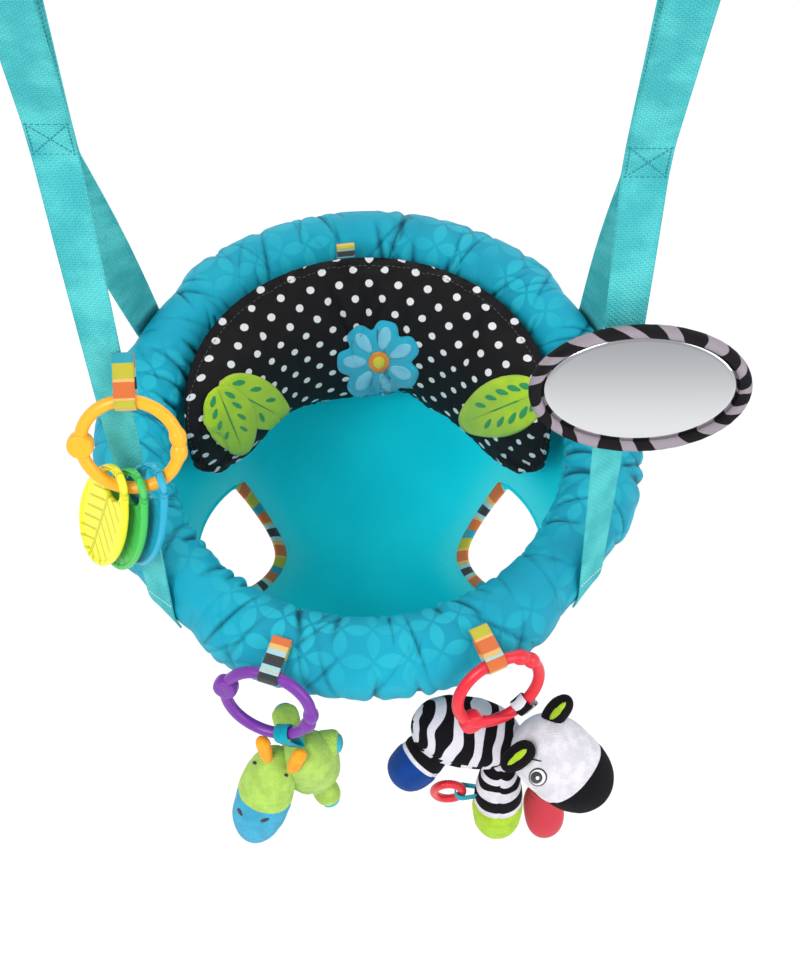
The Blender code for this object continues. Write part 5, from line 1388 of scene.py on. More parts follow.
# %% Side link and its loop
SIDE_LINK_HEIGHT, SIDE_LINK_ALONG, SIDE_LINK_OFF, SIDE_LINK_LEAN_DEG = 0.168, 0.0123, 0.0299, 32.0
point, face, run = leg_spot(-1, SIDE_LINK_HEIGHT)
side_centre = point + X_AXIS * SIDE_LINK_ALONG - Y_AXIS * SIDE_LINK_OFF
side_up = turned(Z_AXIS, Y_AXIS, math.radians(SIDE_LINK_LEAN_DEG))
link("link_yellow", "side_link", side_centre, X_AXIS, side_up, 0, amber)
top, _ = link_spot(side_centre, X_AXIS, side_up, 90)
point, face, run = leg_spot(-1, top.z + RIBBON_WIDTH)
strap_across = face.cross(run).normalized()
base = point + strap_across * ((top.x - point.x) / strap_across.x)
base += face * (CLOTH / 2 + GAP + LOOP_FOLD + RIBBON / 2)
loop_of("loop_strap_left", base, top, X_AXIS, 0.054)

# %% [markdown]
# ## Leaf teethers
# Three soft plastic leaves hang on the yellow link by an eye. Each is one closed skin, made of sections
# that run from the eye's wall over the thin web to the thick rounded rim and back underneath. The veins are
# a shader group over the leaf's own flat coordinates: a midrib and slanting side veins, pressed in as a
# bump and darkened a little in the grooves, which is painted shade.

# %% Veins
VEIN_SLOPE, VEIN_REACH, VEIN_FADE = -0.75, 0.0185, 0.003
veins, enter, leave = group("Leaf veins", {"Pitch": 0.0105, "Width": 0.0011}, ["Height"])
across, along, _ = place(veins, "UV", 1.0)
side_way = calc(veins, "ABSOLUTE", across)
midrib = calc(veins, "DIVIDE", side_way, enter.outputs["Width"])
along_slant = calc(veins, "MULTIPLY_ADD", side_way, VEIN_SLOPE, along)
slant = calc(veins, "DIVIDE", along_slant, enter.outputs["Pitch"])
from_vein = calc(veins, "ABSOLUTE", calc(veins, "SUBTRACT", calc(veins, "FRACT", slant), 0.5))
from_vein = calc(veins, "MULTIPLY", from_vein, enter.outputs["Pitch"])
from_vein = calc(veins, "DIVIDE", from_vein, enter.outputs["Width"])
nearest = calc(veins, "MINIMUM", midrib, from_vein)
fade_out = soft_step(veins, calc(veins, "SUBTRACT", VEIN_REACH, side_way), 0.0, VEIN_FADE)
groove = calc(veins, "MULTIPLY", calc(veins, "SUBTRACT", 1.0, soft_step(veins, nearest, 0.2, 1.0)), fade_out)
veins.links.new(groove, leave.inputs["Height"])

# %% Leaves
LEAF_LENGTH, LEAF_WIDTH, LEAF_THICK, LEAF_WEB, LEAF_EYE = 0.092, 0.050, 0.0054, 0.0028, 0.0104
LEAF_EYE_SHARE, LEAF_PITCH, LEAF_YAW_DEG, LEAF_LEAN_DEG, LEAF_RIM = 0.165, 0.0125, 57.0, 22.0, 0.0056
LEAF_SAG = {"yellow": 0.0016, "green": 0.0022, "blue": 0.0003}
LEAF_STEPS, EYE_STEPS, WEB_STEPS, RIM_STEPS, EYE_ROLL = 160, 8, 15, 12, 0.0009
LEAF_SWELL, EYE_WALL, WEB_FROM_EYE, RIM_FROM_EYE, RIM_ROUND = 0.10, 0.72, 0.0022, 0.0024, 0.75


def leaf_edge(angle):
    """Distance from the eye to the leaf's outline in a direction; 0 points at the leaf's tip."""
    near, far = 0.0, LEAF_LENGTH
    c, s = math.cos(angle), math.sin(angle)
    for _ in range(24):
        reach = (near + far) / 2
        y, x = reach * c - LEAF_LENGTH * (0.5 - LEAF_EYE_SHARE), reach * s
        level = max(-1, min(1, y / (LEAF_LENGTH / 2)))
        half = LEAF_WIDTH / 2 * (1 - level * level) ** 0.5 * (1 + LEAF_SWELL * level)
        near, far = (reach, far) if abs(x) < half and abs(y) < LEAF_LENGTH / 2 else (near, reach)
    return near


def leaf(name, eye, across, down, material, body):
    """Leaf teether with a rounded rim, a thin web and a round eye."""
    normal = across.cross(down)
    rows, flats = [], []
    for i in range(LEAF_STEPS):
        angle = math.tau * i / LEAF_STEPS
        way = turned(down, across, angle)
        edge = leaf_edge(angle)
        section = []
        for k in range(EYE_STEPS + 1):
            turn = math.pi * k / EYE_STEPS - math.pi / 2
            section.append((LEAF_EYE + EYE_ROLL * (1 - math.cos(turn)), LEAF_WEB * EYE_WALL * math.sin(turn)))
        inner, rim_in = LEAF_EYE + WEB_FROM_EYE, max(LEAF_EYE + RIM_FROM_EYE, edge - LEAF_RIM)
        for k in range(1, WEB_STEPS):
            section.append((inner + (rim_in - inner) * k / WEB_STEPS, LEAF_WEB / 2))
        for k in range(RIM_STEPS + 1):
            turn = math.pi * (1 - k / RIM_STEPS)
            rise = LEAF_THICK / 2 * math.sin(turn) ** RIM_ROUND
            reach = rim_in + (edge - rim_in) * (0.5 + 0.5 * math.cos(turn))
            section.append((reach, max(rise, LEAF_WEB / 2) if k < RIM_STEPS // 2 else rise))
        section += [(reach, -rise) for reach, rise in reversed(section[EYE_STEPS + 1 : -1])]
        rows.append([eye + way * reach + normal * rise for reach, rise in section])
        flats.append([(reach * math.sin(angle), reach * math.cos(angle)) for reach, _ in section])

    def flat(row, column):
        """Place on the leaf, flat, from the eye."""
        return flats[row % LEAF_STEPS][column % len(flats[0])]

    piece = surface(name, rows, material, loop=True, ring=True, flat=flat)
    settle(piece, body, name, name)


def veined(material, **inputs):
    """Veins pressed into a material; returns the node tree and how deep a point lies."""
    tree, depth = material.node_tree, use(material, veins, **inputs).outputs[0]
    raise_by(material, calc(tree, "MULTIPLY", depth, -1.0), 0.0012)
    return tree, depth


# Painted shade: the colour darkens towards the third shade where the veins are pressed in.
for colour, (_, ground, deep) in LEAF_SHADES.items():
    tree, depth = veined(leaf_colours[colour])
    blend_colours(leaf_colours[colour], calc(tree, "MULTIPLY", depth, 0.3), ground, deep)

yaw, tilt = math.radians(LEAF_YAW_DEG), math.radians(LEAF_LEAN_DEG)
leaf_across = turned(X_AXIS, -Y_AXIS, yaw)
leaf_down = turned(-Z_AXIS, -turned(Y_AXIS, X_AXIS, yaw), tilt)
for index, (colour, sag) in enumerate(LEAF_SAG.items()):
    angle = -90 + math.degrees(math.asin(LEAF_PITCH * (index - 1) / LINK_RADIUS))
    spot, _ = link_spot(side_centre, X_AXIS, side_up, angle)
    eye = spot + leaf_down * sag
    leaf(f"leaf_{colour}", eye, leaf_across, leaf_down, leaf_colours[colour], f"{colour}_leaf")

# %% [markdown]
# ## Mirror
# An oval sheet of mirror foil lies in a padded frame with a zebra print, held to the webbing by a band. The
# frame is a closed section swept round an ellipse, puckered where the cloth is drawn round the curve, and
# the print runs slantwise along it. The foil is a metal whose colour gets lighter towards its lower edge:
# a painted reflection.

# %% Mirror
MIRROR_HALF_WIDTH, MIRROR_HALF_HEIGHT, MIRROR_RIM, MIRROR_THICK = 0.071, 0.0495, 0.008, 0.009
MIRROR_SHEET, MIRROR_RECESS, MIRROR_STAND_OFF, MIRROR_SHIFT, MIRROR_HEIGHT = 0.002, 0.003, 0.014, 0.012, 0.180
MIRROR_BAND_WIDTH, MIRROR_BAND_CLEAR = 0.018, 0.0009
FRAME_STEPS, FRAME_COLUMNS, OVAL_POINTS, MIRROR_PUCKER = 260, 24, 96, 0.12
FRAME_ROUND, PRINT_ALONG, PRINT_SLANT, PRINT_ACROSS = 0.8, 0.384, 0.020, 0.026
PUCKERS_ROUND, PUCKERS_WANDER, TAB_WIDE, TAB_TALL, FOIL_DISH = 41, 9, 0.011, 0.003, 0.0006
spot, face, run = leg_spot(1, MIRROR_HEIGHT)
strap_across = face.cross(run).normalized()
mirror_up = Vector((0, run.y, run.z)).normalized()
mirror_face_way = X_AXIS.cross(mirror_up)
wrap = CLOTH / 2 + MIRROR_BAND_CLEAR + RIBBON / 2
half = strap_across * (STRAP_WIDTH / 2)
stations = belt(spot - half, wrap, spot + half, wrap, run, 14)
band = ribbon("mirror_band", stations, MIRROR_BAND_WIDTH, RIBBON, webbing, closed=True)
settle(band, "seat", "webbing", "mirror_band")
mirror_back = spot + mirror_face_way * MIRROR_STAND_OFF + X_AXIS * MIRROR_SHIFT


def frame_row(turn, pucker):
    """Section of the mirror's frame at one place round the ellipse."""
    out = X_AXIS * (MIRROR_HALF_WIDTH * math.cos(turn)) + mirror_up * (MIRROR_HALF_HEIGHT * math.sin(turn))
    row = []
    middle_share = 1 - MIRROR_RIM / 2 / out.length
    for k in range(FRAME_COLUMNS):
        angle = math.tau * k / FRAME_COLUMNS - math.pi
        c, s = math.cos(angle), math.sin(angle)
        reach = MIRROR_RIM / 2 * math.copysign(abs(c) ** FRAME_ROUND, c)
        puckered = 1 - pucker * max(0, c) * MIRROR_PUCKER
        rise = MIRROR_THICK / 2 * (1 + math.copysign(abs(s) ** FRAME_ROUND, s) * puckered)
        row.append(mirror_back + out * middle_share + out.normalized() * reach + mirror_face_way * rise)
    return row


def mirror_oval(inset, share, rise):
    """Oval in the mirror's plane: inset from its outline, scaled by a share and raised off its back."""
    width, height = (MIRROR_HALF_WIDTH - inset) * share, (MIRROR_HALF_HEIGHT - inset) * share
    return oval(mirror_back + mirror_face_way * rise, X_AXIS, mirror_up, width, height, OVAL_POINTS)


def frame_flat(row, column):
    """Place in the frame's print, which runs slantwise along the frame."""
    along, across = row / FRAME_STEPS, column / FRAME_COLUMNS
    return along * PRINT_ALONG + across * PRINT_SLANT, across * PRINT_ACROSS


frame_rows = []
for i in range(FRAME_STEPS):
    turn = math.tau * i / FRAME_STEPS
    wander = 2 * math.sin(turn * PUCKERS_WANDER)
    frame_rows.append(frame_row(turn, 0.5 + 0.5 * math.sin(turn * PUCKERS_ROUND + wander)))
hoop = surface("mirror_frame_ring", frame_rows, frame_print, loop=True, ring=True, flat=frame_flat)
back_profile = ((0.02, 0.0), (0.5, 0.0), (0.985, 0.0012), (0.985, 0.0035), (0.5, 0.0035), (0.02, 0.0035))
back_rows = [mirror_oval(MIRROR_RIM / 2, share, rise) for share, rise in back_profile]
cover = surface("mirror_cover", back_rows, frame_print, ring=True, caps=True)
tab_spots = [spot + mirror_face_way * reach for reach in (0.0048, 0.016)]
tab_rows = [oval(tab_spot, X_AXIS, mirror_up, TAB_WIDE, TAB_TALL, 20, 0.5) for tab_spot in tab_spots]
tab = surface("mirror_tab", tab_rows, frame_print, ring=True, caps=True)
settle(joined("mirror_frame", [hoop, cover, tab]), "mirror", "mirror_frame", "mirror_frame")

floor_rise = MIRROR_THICK - MIRROR_RECESS - MIRROR_SHEET + GAP
foil_rows = []
for k in range(13):
    share = k / 12
    rise = floor_rise + MIRROR_SHEET - FOIL_DISH * share**2
    foil_rows.append(mirror_oval(MIRROR_RIM, max(share, 0.01), rise))
foil_rows.append([point - mirror_face_way * MIRROR_SHEET for point in foil_rows[-1]])


def foil_flat(row, column):
    """Height of a point of the foil over the mirror's middle, for the painted reflection on its metal."""
    return 0.0, (foil_rows[row][column % OVAL_POINTS] - mirror_back).dot(mirror_up)


foil = surface("mirror_sheet", foil_rows, mirror_face, ring=True, caps=True, flat=foil_flat)
settle(foil, "mirror", "mirror", "mirror_sheet")

# %% [markdown]
# ## Front loops and links
# Two more loops are sewn under the front of the ring, each with a link on it: purple on the left, red on
# the right. The red one ends in a pointed tongue. Their frames are worked out as the frame's own are, from
# the ring outwards.

# %% Front loops and links
LINK_LEAN_DEG, LINK_STAND_OFF, LINK_DROP = 17.0, 0.014, -0.003
FRONT_LOOP_DEG, TOY_LOOP_DEG, FRONT_ROLL_DEG = {-1: -108.0, 1: -65.0}, {-1: 25.0, 1: 30.0}, {-1: -8, 1: 42}
FRONT_LOOP_ANGLE_DEG = -90 + SLIT_DEG + (360 - 2 * SLIT_DEG) * 5 / 11
LOOP_SHIFT = {-1: 0.0165, 1: 0.0020}
toy_spots = {}
for side, label, body, material in ((-1, "purple", "left_link", purple), (1, "red", "right_link", red)):
    out = heading(FRONT_LOOP_DEG[side])
    across = Z_AXIS.cross(out)
    up = turned(Z_AXIS, -out, math.radians(LINK_LEAN_DEG))
    centre = out * (RING_RADIUS + PAD_RADIUS + LINK_STAND_OFF) + Z_AXIS * LINK_DROP
    link(f"link_{label}", body, centre, across, up, FRONT_ROLL_DEG[side], material, tongue=side > 0)
    top, _ = link_spot(centre, across, up, 90)
    face = turned(out, Z_AXIS, math.radians(FRONT_LOOP_ANGLE_DEG))
    base = out * RING_RADIUS + face * (PAD_RADIUS + GAP + LOOP_FOLD + RIBBON / 2)
    loop_of("loop_front_left" if side < 0 else "loop_front_right", base, top, across, LOOP_SHIFT[side])
    toy_spots[side] = link_spot(centre, across, up, -90 + TOY_LOOP_DEG[side])

out = heading(97.0)
top = out * PILLOW_TOP.x + Z_AXIS * (PILLOW_TOP.y - GAP)
loop_of("pillow_loop", top + Z_AXIS * LOOP_FOLD, top + Z_AXIS * RIBBON_WIDTH, Z_AXIS.cross(out), 0.0575,
        fold=LOOP_FOLD / 2, wrap=LOOP_FOLD)

# %% [markdown]
# ## Plush toys
# Each toy is sewn from stuffed pieces that swell between two ends and round off, so one function makes them
# all: a tube whose radius follows a soft curve, with a sewn groove on two sides, slight lumps, and a colour
# for each stretch of its length. Eyes, nostrils, the brow and the ears' linings are thrown on along the
# camera's rays, as the pillow's patches are.

# %% Stuffed shapes
TOY_SPAN, TOY_LOOP_DROP, TOY_LOOP_SHARE, TOY_LOOP_WIDTH = 0.100, 0.030, 0.66, 0.0112
JOIN_DEPTH, JOIN_WIDE, GROOVE, GROOVE_WIDE, LUMPS = 0.0009, 0.0012, 0.0008, 0.10, 90


def stuffed(name, origin, first, last, radii, colours, flat=1.0, plump=2.6, steps=56, count=48, lump=0.0007):
    """Stuffed piece between two places, in shares of the toy's span; colours pairs shares with materials."""
    low, high = origin + Vector(first) * TOY_SPAN, origin + Vector(last) * TOY_SPAN
    run = (high - low).normalized()
    side = run.cross(Z_AXIS if abs(run.z) < 0.9 else X_AXIS).normalized()
    up = side.cross(run)
    rows, shares_here = [], []
    for i in range(1, steps):
        share = (1 - math.cos(math.pi * i / steps)) / 2
        bulge = (1 - abs(2 * share - 1) ** plump) ** 0.5
        radius = (radii[0] + (radii[1] - radii[0]) * share) * bulge
        for start, _ in colours[1:]:
            radius -= JOIN_DEPTH * bell((share - start) * (high - low).length / JOIN_WIDE)
        row = []
        for k in range(count):
            turn = math.tau * k / count
            groove = GROOVE * bell(math.sin(turn) / GROOVE_WIDE) * bulge
            way = side * math.cos(turn) + up * (math.sin(turn) * flat)
            spot = low.lerp(high, share) + way * (radius - groove)
            row.append(spot + way * (lump * noise(spot * LUMPS + Vector((len(name), 0, 0))) * bulge))
        rows.append(row)
        shares_here.append(share)
    piece = surface(name, rows, colours[0][1], ring=True, caps=True)
    for _, material in colours[1:]:
        if material.name not in piece.data.materials:
            piece.data.materials.append(material)
    names = [m.name for m in piece.data.materials]
    for face in piece.data.polygons:
        row = min(face.index // count, len(rows) - 2)
        share = (shares_here[row] + shares_here[row + 1]) / 2
        if face.index >= (len(rows) - 1) * count:
            share = 0.0 if (face.center - SEAT - low).length < (face.center - SEAT - high).length else 1.0
        material = [m for start, m in colours if share >= start][-1]
        face.material_index = names.index(material.name)
    return piece


def seen_at(point):
    """Pixel of the photograph where a place in seat coordinates is seen."""
    local = look.transposed() @ (point - CAMERA_FROM_SEAT)
    return PICTURE_MIDDLE.x - FOCAL_PX * local.x / local.z, PICTURE_MIDDLE.y + FOCAL_PX * local.y / local.z


def limb(name, body, slot, *shape, **more):
    """Stuffed piece that stands for the frame's node of the same name."""
    piece = stuffed(name, *shape, **more)
    return settle(piece, body, slot, name)


def toy_loop(name, body, spot, run, material):
    """Ribbon loop that hangs a toy on its link."""
    low = spot + (run * run.z - Z_AXIS).normalized() * TOY_LOOP_DROP * TOY_LOOP_SHARE
    wrap = LINK_BAR + RIBBON_CLEAR + RIBBON / 2
    loop_of(name, low, spot, run, 0.0, body, TOY_LOOP_WIDTH, material, wrap=wrap)


# %% Giraffe
spot, run = toy_spots[-1]
sole = plush("sole", (60, 175, 185))
limb("giraffe_body", "giraffe", "giraffe", spot, (0.13, -0.04, -0.22), (0.16, 0.12, -1.22), (0.021, 0.023),
     [(0, lime)])
giraffe_head = limb("giraffe_head", "giraffe", "giraffe", spot, (-0.06, 0.00, -0.34), (-0.30, -0.42, -1.10),
                    (0.020, 0.021), [(0, lime), (0.50, muzzle)])
for name, first, last in (
    ("giraffe_leg_fore_left", (0.16, 0.10, -0.46), (0.40, 0.08, -0.44)),
    ("giraffe_leg_hind_left", (0.18, 0.08, -1.00), (0.30, -0.10, -1.30)),
    ("giraffe_leg_fore_right", (0.02, 0.16, -0.46), (-0.06, 0.40, -0.50)),
    ("giraffe_leg_hind_right", (0.10, 0.18, -1.05), (0.02, 0.38, -1.30)),
):
    limb(name, "giraffe", "giraffe", spot, first, last, (0.009, 0.011), [(0, lime), (0.86, sole)],
         steps=40, count=36)
for name, first, last in (
    ("giraffe_horn_left", (-0.13, -0.08, -0.38), (-0.17, 0.00, -0.10)),
    ("giraffe_horn_right", (0.03, -0.16, -0.36), (0.12, -0.09, -0.12)),
):
    limb(name, "giraffe", "horn", spot, first, last, (0.0042, 0.0060), [(0, horn), (0.62, horn)],
         steps=30, count=24, plump=4.0, lump=0.0004)
toy_loop("giraffe_loop", "giraffe", spot, run, teal)

# %% Giraffe's face
ink = shader("stitched_ink", (24, 20, 24), 0.45, Sheen_Weight=0.2)
woven(ink, FINE_WEAVE_DEPTH)
shine = shader("shine", (245, 245, 245), 0.3)
woven(shine, FINE_WEAVE_DEPTH)
NOSTRILS_PX, GIRAFFE_EYES_PX = ((240, 812), (265, 820)), ((255, 763), (286, 775))
face_skin = skin_of(giraffe_head)
marks = []
for i, (px, turn_deg) in enumerate(zip(NOSTRILS_PX, (-62, 20))):
    shape = drop_reach(9.5, 3.4)
    marks.append(appliqued(f"nostril_{i}", face_skin, px, shape, ink, 0.0003, 0.0003, 5, 28, turn_deg))
for i, px in enumerate(GIRAFFE_EYES_PX):
    marks.append(appliqued(f"eye_{i}", face_skin, px, round_reach(1.7), ink, 0.0005, 0.0010, 6, 24))
settle(joined("giraffe_face", marks), "giraffe", "horn")

# %% [markdown]
# ## Zebra
# The zebra lies along the ring's front with its big head to the right. Its print is one shader, wide wavy
# bands round each limb, and the feet, the muzzle and the inside of the ears have colours of their own.

# %% Zebra
spot, run = toy_spots[1]
fur = zebra_print
limb("zebra_body", "zebra", "zebra", spot, (-0.78, 0.00, -0.38), (0.02, -0.08, -0.54), (0.026, 0.026),
     [(0, fur)])
zebra_head = limb("zebra_head", "zebra", "zebra", spot, (0.02, -0.09, -0.24), (0.62, -0.46, -0.72),
                  (0.0305, 0.0275), [(0, white_plush), (0.60, black_plush)], plump=2.8)
for name, first, last, radii, colours in (
    ("zebra_leg_fore_near", (-0.12, -0.14, -0.62), (-0.12, -0.46, -1.53), (0.014, 0.0225),
     [(0, fur), (0.34, white_plush), (0.42, black_plush), (0.52, white_plush), (0.58, green_foot)]),
    ("zebra_leg_hind_near", (-0.52, -0.04, -0.50), (-0.90, -0.32, -0.78), (0.015, 0.020),
     [(0, fur), (0.20, white_plush), (0.27, black_plush), (0.47, white_plush), (0.525, blue_foot)]),
    ("zebra_leg_fore_far", (-0.06, 0.00, -0.54), (0.26, -0.02, -1.42), (0.012, 0.016),
     [(0, fur), (0.7, black_plush)]),
    ("zebra_leg_hind_far", (-0.58, 0.10, -0.56), (-0.52, 0.06, -1.20), (0.012, 0.016),
     [(0, fur), (0.7, green_foot)]),
):
    limb(name, "zebra", "zebra", spot, first, last, radii, colours)
ZEBRA_EARS = (
    ("zebra_ear_far", (0.18, -0.06, -0.26), (0.35, 0.06, -0.02)),
    ("zebra_ear_near", (0.08, -0.26, -0.10), (-0.14, -0.42, -0.18)),
)
ears = {}
for name, first, last in ZEBRA_EARS:
    ears[name] = limb(name, "zebra", "zebra", spot, first, last, (0.0092, 0.0080), [(0, black_plush)],
                      steps=30, count=30, flat=0.75)
toy_loop("zebra_loop", "zebra", spot, run, zebra_print)

# %% Zebra's face and ears
ZEBRA_EYE_PX, ZEBRA_BROW_PX, IRIS_ASIDE_PX = (538, 777), (536, 760), 1.2
face_skin = skin_of(zebra_head)
marks = []
for label, radius, material, lift in (
    ("ring", 9.2, ink, 0.0003),
    ("white", 7.7, shine, 0.0006),
    ("iris", 5.9, ink, 0.0009),
    ("glint", 1.8, shine, 0.0013),
):
    shape = round_reach(radius)
    middle = (ZEBRA_EYE_PX[0] - (IRIS_ASIDE_PX if label == "iris" else 0), ZEBRA_EYE_PX[1])
    marks.append(appliqued(f"eye_{label}", face_skin, middle, shape, material, lift, 0.0002, 6, 48))
brow = oval_reach(6.5, 0.8)
marks.append(appliqued("brow", face_skin, ZEBRA_BROW_PX, brow, ink, 0.0003, 0.0002, 5, 60, -12))
settle(joined("zebra_face", marks), "zebra", "zebra")
lining = []
for name, first, last in ZEBRA_EARS:
    low, high = (Vector(seen_at(spot + Vector(share) * TOY_SPAN)) for share in (first, last))
    reach = high - low
    shape = drop_reach(max(reach.length * 0.62, 9), 7)
    turn_deg = math.degrees(math.atan2(-reach.y, reach.x))
    lining.append(appliqued(f"{name}_lining", skin_of(ears[name]), low + reach * 0.52, shape, green_foot,
                            0.0004, 0.0004, 6, 32, turn_deg))
settle(joined("zebra_ear_lining", lining), "zebra", "zebra")

# %% Teethers and tag
TEETHER_LEAF, TEETHER_RING, TEETHER_BAR, TAG_WIDTH = 0.016, 0.017, 0.0033, 0.009
TEETHER_FLAT_SHARE, TEETHER_RING_SHARE, TEETHER_STEPS, RIBS, RIB_DEPTH = 0.35, 0.62, 272, 34, 0.10
rough_red = plastic("teether_red", (190, 44, 60))
veined(rough_red, Pitch=0.0042, Width=0.0006)
piece = stuffed("zebra_leaf_teether", spot, (0.22, -0.10, -1.36), (0.30, -0.44, -1.76),
                (TEETHER_LEAF, TEETHER_LEAF), [(0, rough_red)], flat=TEETHER_FLAT_SHARE, lump=0.0)
settle(piece, "zebra", "link_red", "zebra_leaf_teether")
centre = spot + Vector((-0.50, -0.30, -1.04)) * TOY_SPAN
circle = oval(centre, X_AXIS, Z_AXIS, TEETHER_RING * TEETHER_RING_SHARE, TEETHER_RING, TEETHER_STEPS)
ribbed = []
for i in range(TEETHER_STEPS):
    turn = math.tau * i / TEETHER_STEPS
    rib = (0.5 + 0.5 * math.cos(RIBS * turn)) * ease(2 * math.cos(turn) + 1)
    ribbed.append(TEETHER_BAR * (1.0 - RIB_DEPTH * rib))
ring_piece = tube("zebra_ring_teether", circle, ribbed, red, closed=True, count=18, up=Y_AXIS)
settle(ring_piece, "zebra", "link_red", "zebra_ring_teether")
bar = centre + X_AXIS * (TEETHER_RING * TEETHER_RING_SHARE)
knee_shares = ((-0.12, -0.14, -0.62), (-0.12, -0.44, -1.50))
knee_from, knee_to = (spot + Vector(share) * TOY_SPAN for share in knee_shares)
knee = knee_from.lerp(knee_to, (knee_from.z - centre.z) / (knee_from.z - knee_to.z))
knee.y = bar.y
loop_of("zebra_tag", knee, bar, Z_AXIS, 0.0, "zebra", TAG_WIDTH, teal, fold=LOOP_FOLD / 2,
        wrap=TEETHER_BAR + RIBBON_CLEAR + RIBBON / 2)

# %% [markdown]
# ## What hangs above the seat
# The photograph is cropped above the crossed boxes, so the rest is what such a jumper has. The wooden bar
# keeps the webbing apart, an eye bolt takes the spring's lower hook, and the spring, in a gathered sleeve,
# hangs on a D-ring at the end of an adjustable strap. Its heights follow from the bar upwards, each from
# the one below.

# %% Heights
WIRE, SPRING_WIRE, COIL_RADIUS, TURNS, COIL_PITCH = 0.003, 0.002, 0.016, 17, 0.0056
HOOK_RADIUS, HOOK_LEAD, EYE_RADIUS, EYE_STEM = 0.0075, 0.010, 0.0095, 0.006
HOOK_FROM_DEG, HOOK_TURN_DEG, HOOK_STEPS = -60, 270, 36
NUT_RADIUS, NUT_THICK, EYE_POINTS = 0.0065, 0.005, 64
DEE_RADIUS, DEE_HEIGHT, DEE_CORNER, HANG_WEB_WIDTH, HANG_WEB_LENGTH = 0.017, 0.032, 0.005, 0.025, 0.190
PLUMB = Y_AXIS * BAR_Y
eye_z = STRAP_RISE + BAR_RADIUS + EYE_STEM + EYE_RADIUS
hook_low_z = eye_z + EYE_RADIUS - WIRE - GAP - SPRING_WIRE
coil_low_z = hook_low_z + 2 * HOOK_RADIUS + HOOK_LEAD
coil_top_z = coil_low_z + TURNS * COIL_PITCH
hook_top_z = coil_top_z + HOOK_LEAD + 2 * HOOK_RADIUS
lower_dee_z = hook_top_z - WIRE - GAP - SPRING_WIRE
lower_bar_z = lower_dee_z + DEE_HEIGHT
upper_bar_z = lower_bar_z + HANG_WEB_LENGTH
hang_z = upper_bar_z + DEE_HEIGHT


def at(z):
    """Place on the plumb line at a height over the ring."""
    return PLUMB + Z_AXIS * z


def world_at(z):
    """The same place in the world's coordinates."""
    return tuple(SEAT + at(z))


# %% Rings of steel wire
def dee(arc_centre, up):
    """Line of a D-ring: a half circle towards up, two rounded corners and a straight bar."""
    bar_middle = arc_centre - up * (DEE_HEIGHT - DEE_RADIUS)
    line = [arc_centre + turned(X_AXIS, up, math.pi * i / 40) * DEE_RADIUS for i in range(41)]
    for side in (-1, 1):
        corner = bar_middle + X_AXIS * (side * (DEE_RADIUS - DEE_CORNER)) + up * DEE_CORNER
        quarter = [math.pi / 2 * i / 8 for i in range(9)]
        for turn in quarter if side < 0 else reversed(quarter):
            line.append(corner + turned(X_AXIS * side, -up, turn) * DEE_CORNER)
    return line


for name, line, body in (
    ("hanging_ring", dee(at(hang_z - DEE_RADIUS), Z_AXIS), "hanger"),
    ("spring_ring", dee(at(lower_dee_z + DEE_RADIUS), -Z_AXIS), "adjuster"),
):
    settle(tube(name, line, [WIRE] * len(line), steel, closed=True, count=18, up=Y_AXIS), body, "steel", name)

# %% Adjusting strap
wrap = WIRE + GAP + CLOTH / 2
stations = belt(at(lower_bar_z), wrap, at(upper_bar_z), wrap, X_AXIS)
even = resampled([*stations, stations[0]], 0.004)[:-1]
strap = ribbon("adjusting_strap", even, HANG_WEB_WIDTH, CLOTH, webbing, closed=True, columns=8)
settle(strap, None, "webbing", "adjusting_strap")
world_at(upper_bar_z - 0.02)
world_at(lower_bar_z + 0.08)
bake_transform(strap)

# %% [markdown]
# ## Spring by Geometry Nodes
# A coil follows a rule, so a small tree makes it: a spiral curve, swept with a circle, with its turns,
# radius, height and wire as named inputs. The two hooks are bent tubes. The coil lies between the strap's
# end and the seat.

# %% Spring
def made_by_nodes(name, tree, source, **inputs):
    """Plain mesh object from a source object through a Geometry Nodes tree."""
    change = source.modifiers.new(tree.name, "NODES")
    change.node_group = tree
    for item in tree.interface.items_tree:
        if item.item_type == "SOCKET" and item.in_out == "INPUT" and item.name in inputs:
            change[item.identifier] = inputs[item.name]
    evaluated = source.evaluated_get(bpy.context.evaluated_depsgraph_get())
    piece = bpy.data.objects.new(name, bpy.data.meshes.new_from_object(evaluated))
    bpy.context.collection.objects.link(piece)
    bpy.data.objects.remove(source)
    return piece


def geometry_tree(name, sockets):
    """Empty Geometry Nodes tree with a geometry in and out and named inputs."""
    tree = bpy.data.node_groups.new(name, "GeometryNodeTree")
    tree.interface.new_socket("Geometry", in_out="INPUT", socket_type="NodeSocketGeometry")
    for label, kind, default in sockets:
        socket = tree.interface.new_socket(label, in_out="INPUT", socket_type=f"NodeSocket{kind}")
        if default is not None:
            socket.default_value = default
    tree.interface.new_socket("Geometry", in_out="OUTPUT", socket_type="NodeSocketGeometry")
    return tree, tree.nodes.new("NodeGroupInput"), tree.nodes.new("NodeGroupOutput")


def finished(tree, enter, leave, geometry):
    """Ends a tree in Realize Instances, smooth shading and Set Material."""
    for kind in ("RealizeInstances", "SetShadeSmooth", "SetMaterial"):
        node = add_node(tree, f"GeometryNode{kind}", {"Geometry": geometry})
        geometry = node.outputs["Geometry"]
    tree.links.new(enter.outputs["Material"], node.inputs["Material"])
    tree.links.new(geometry, leave.inputs[0])


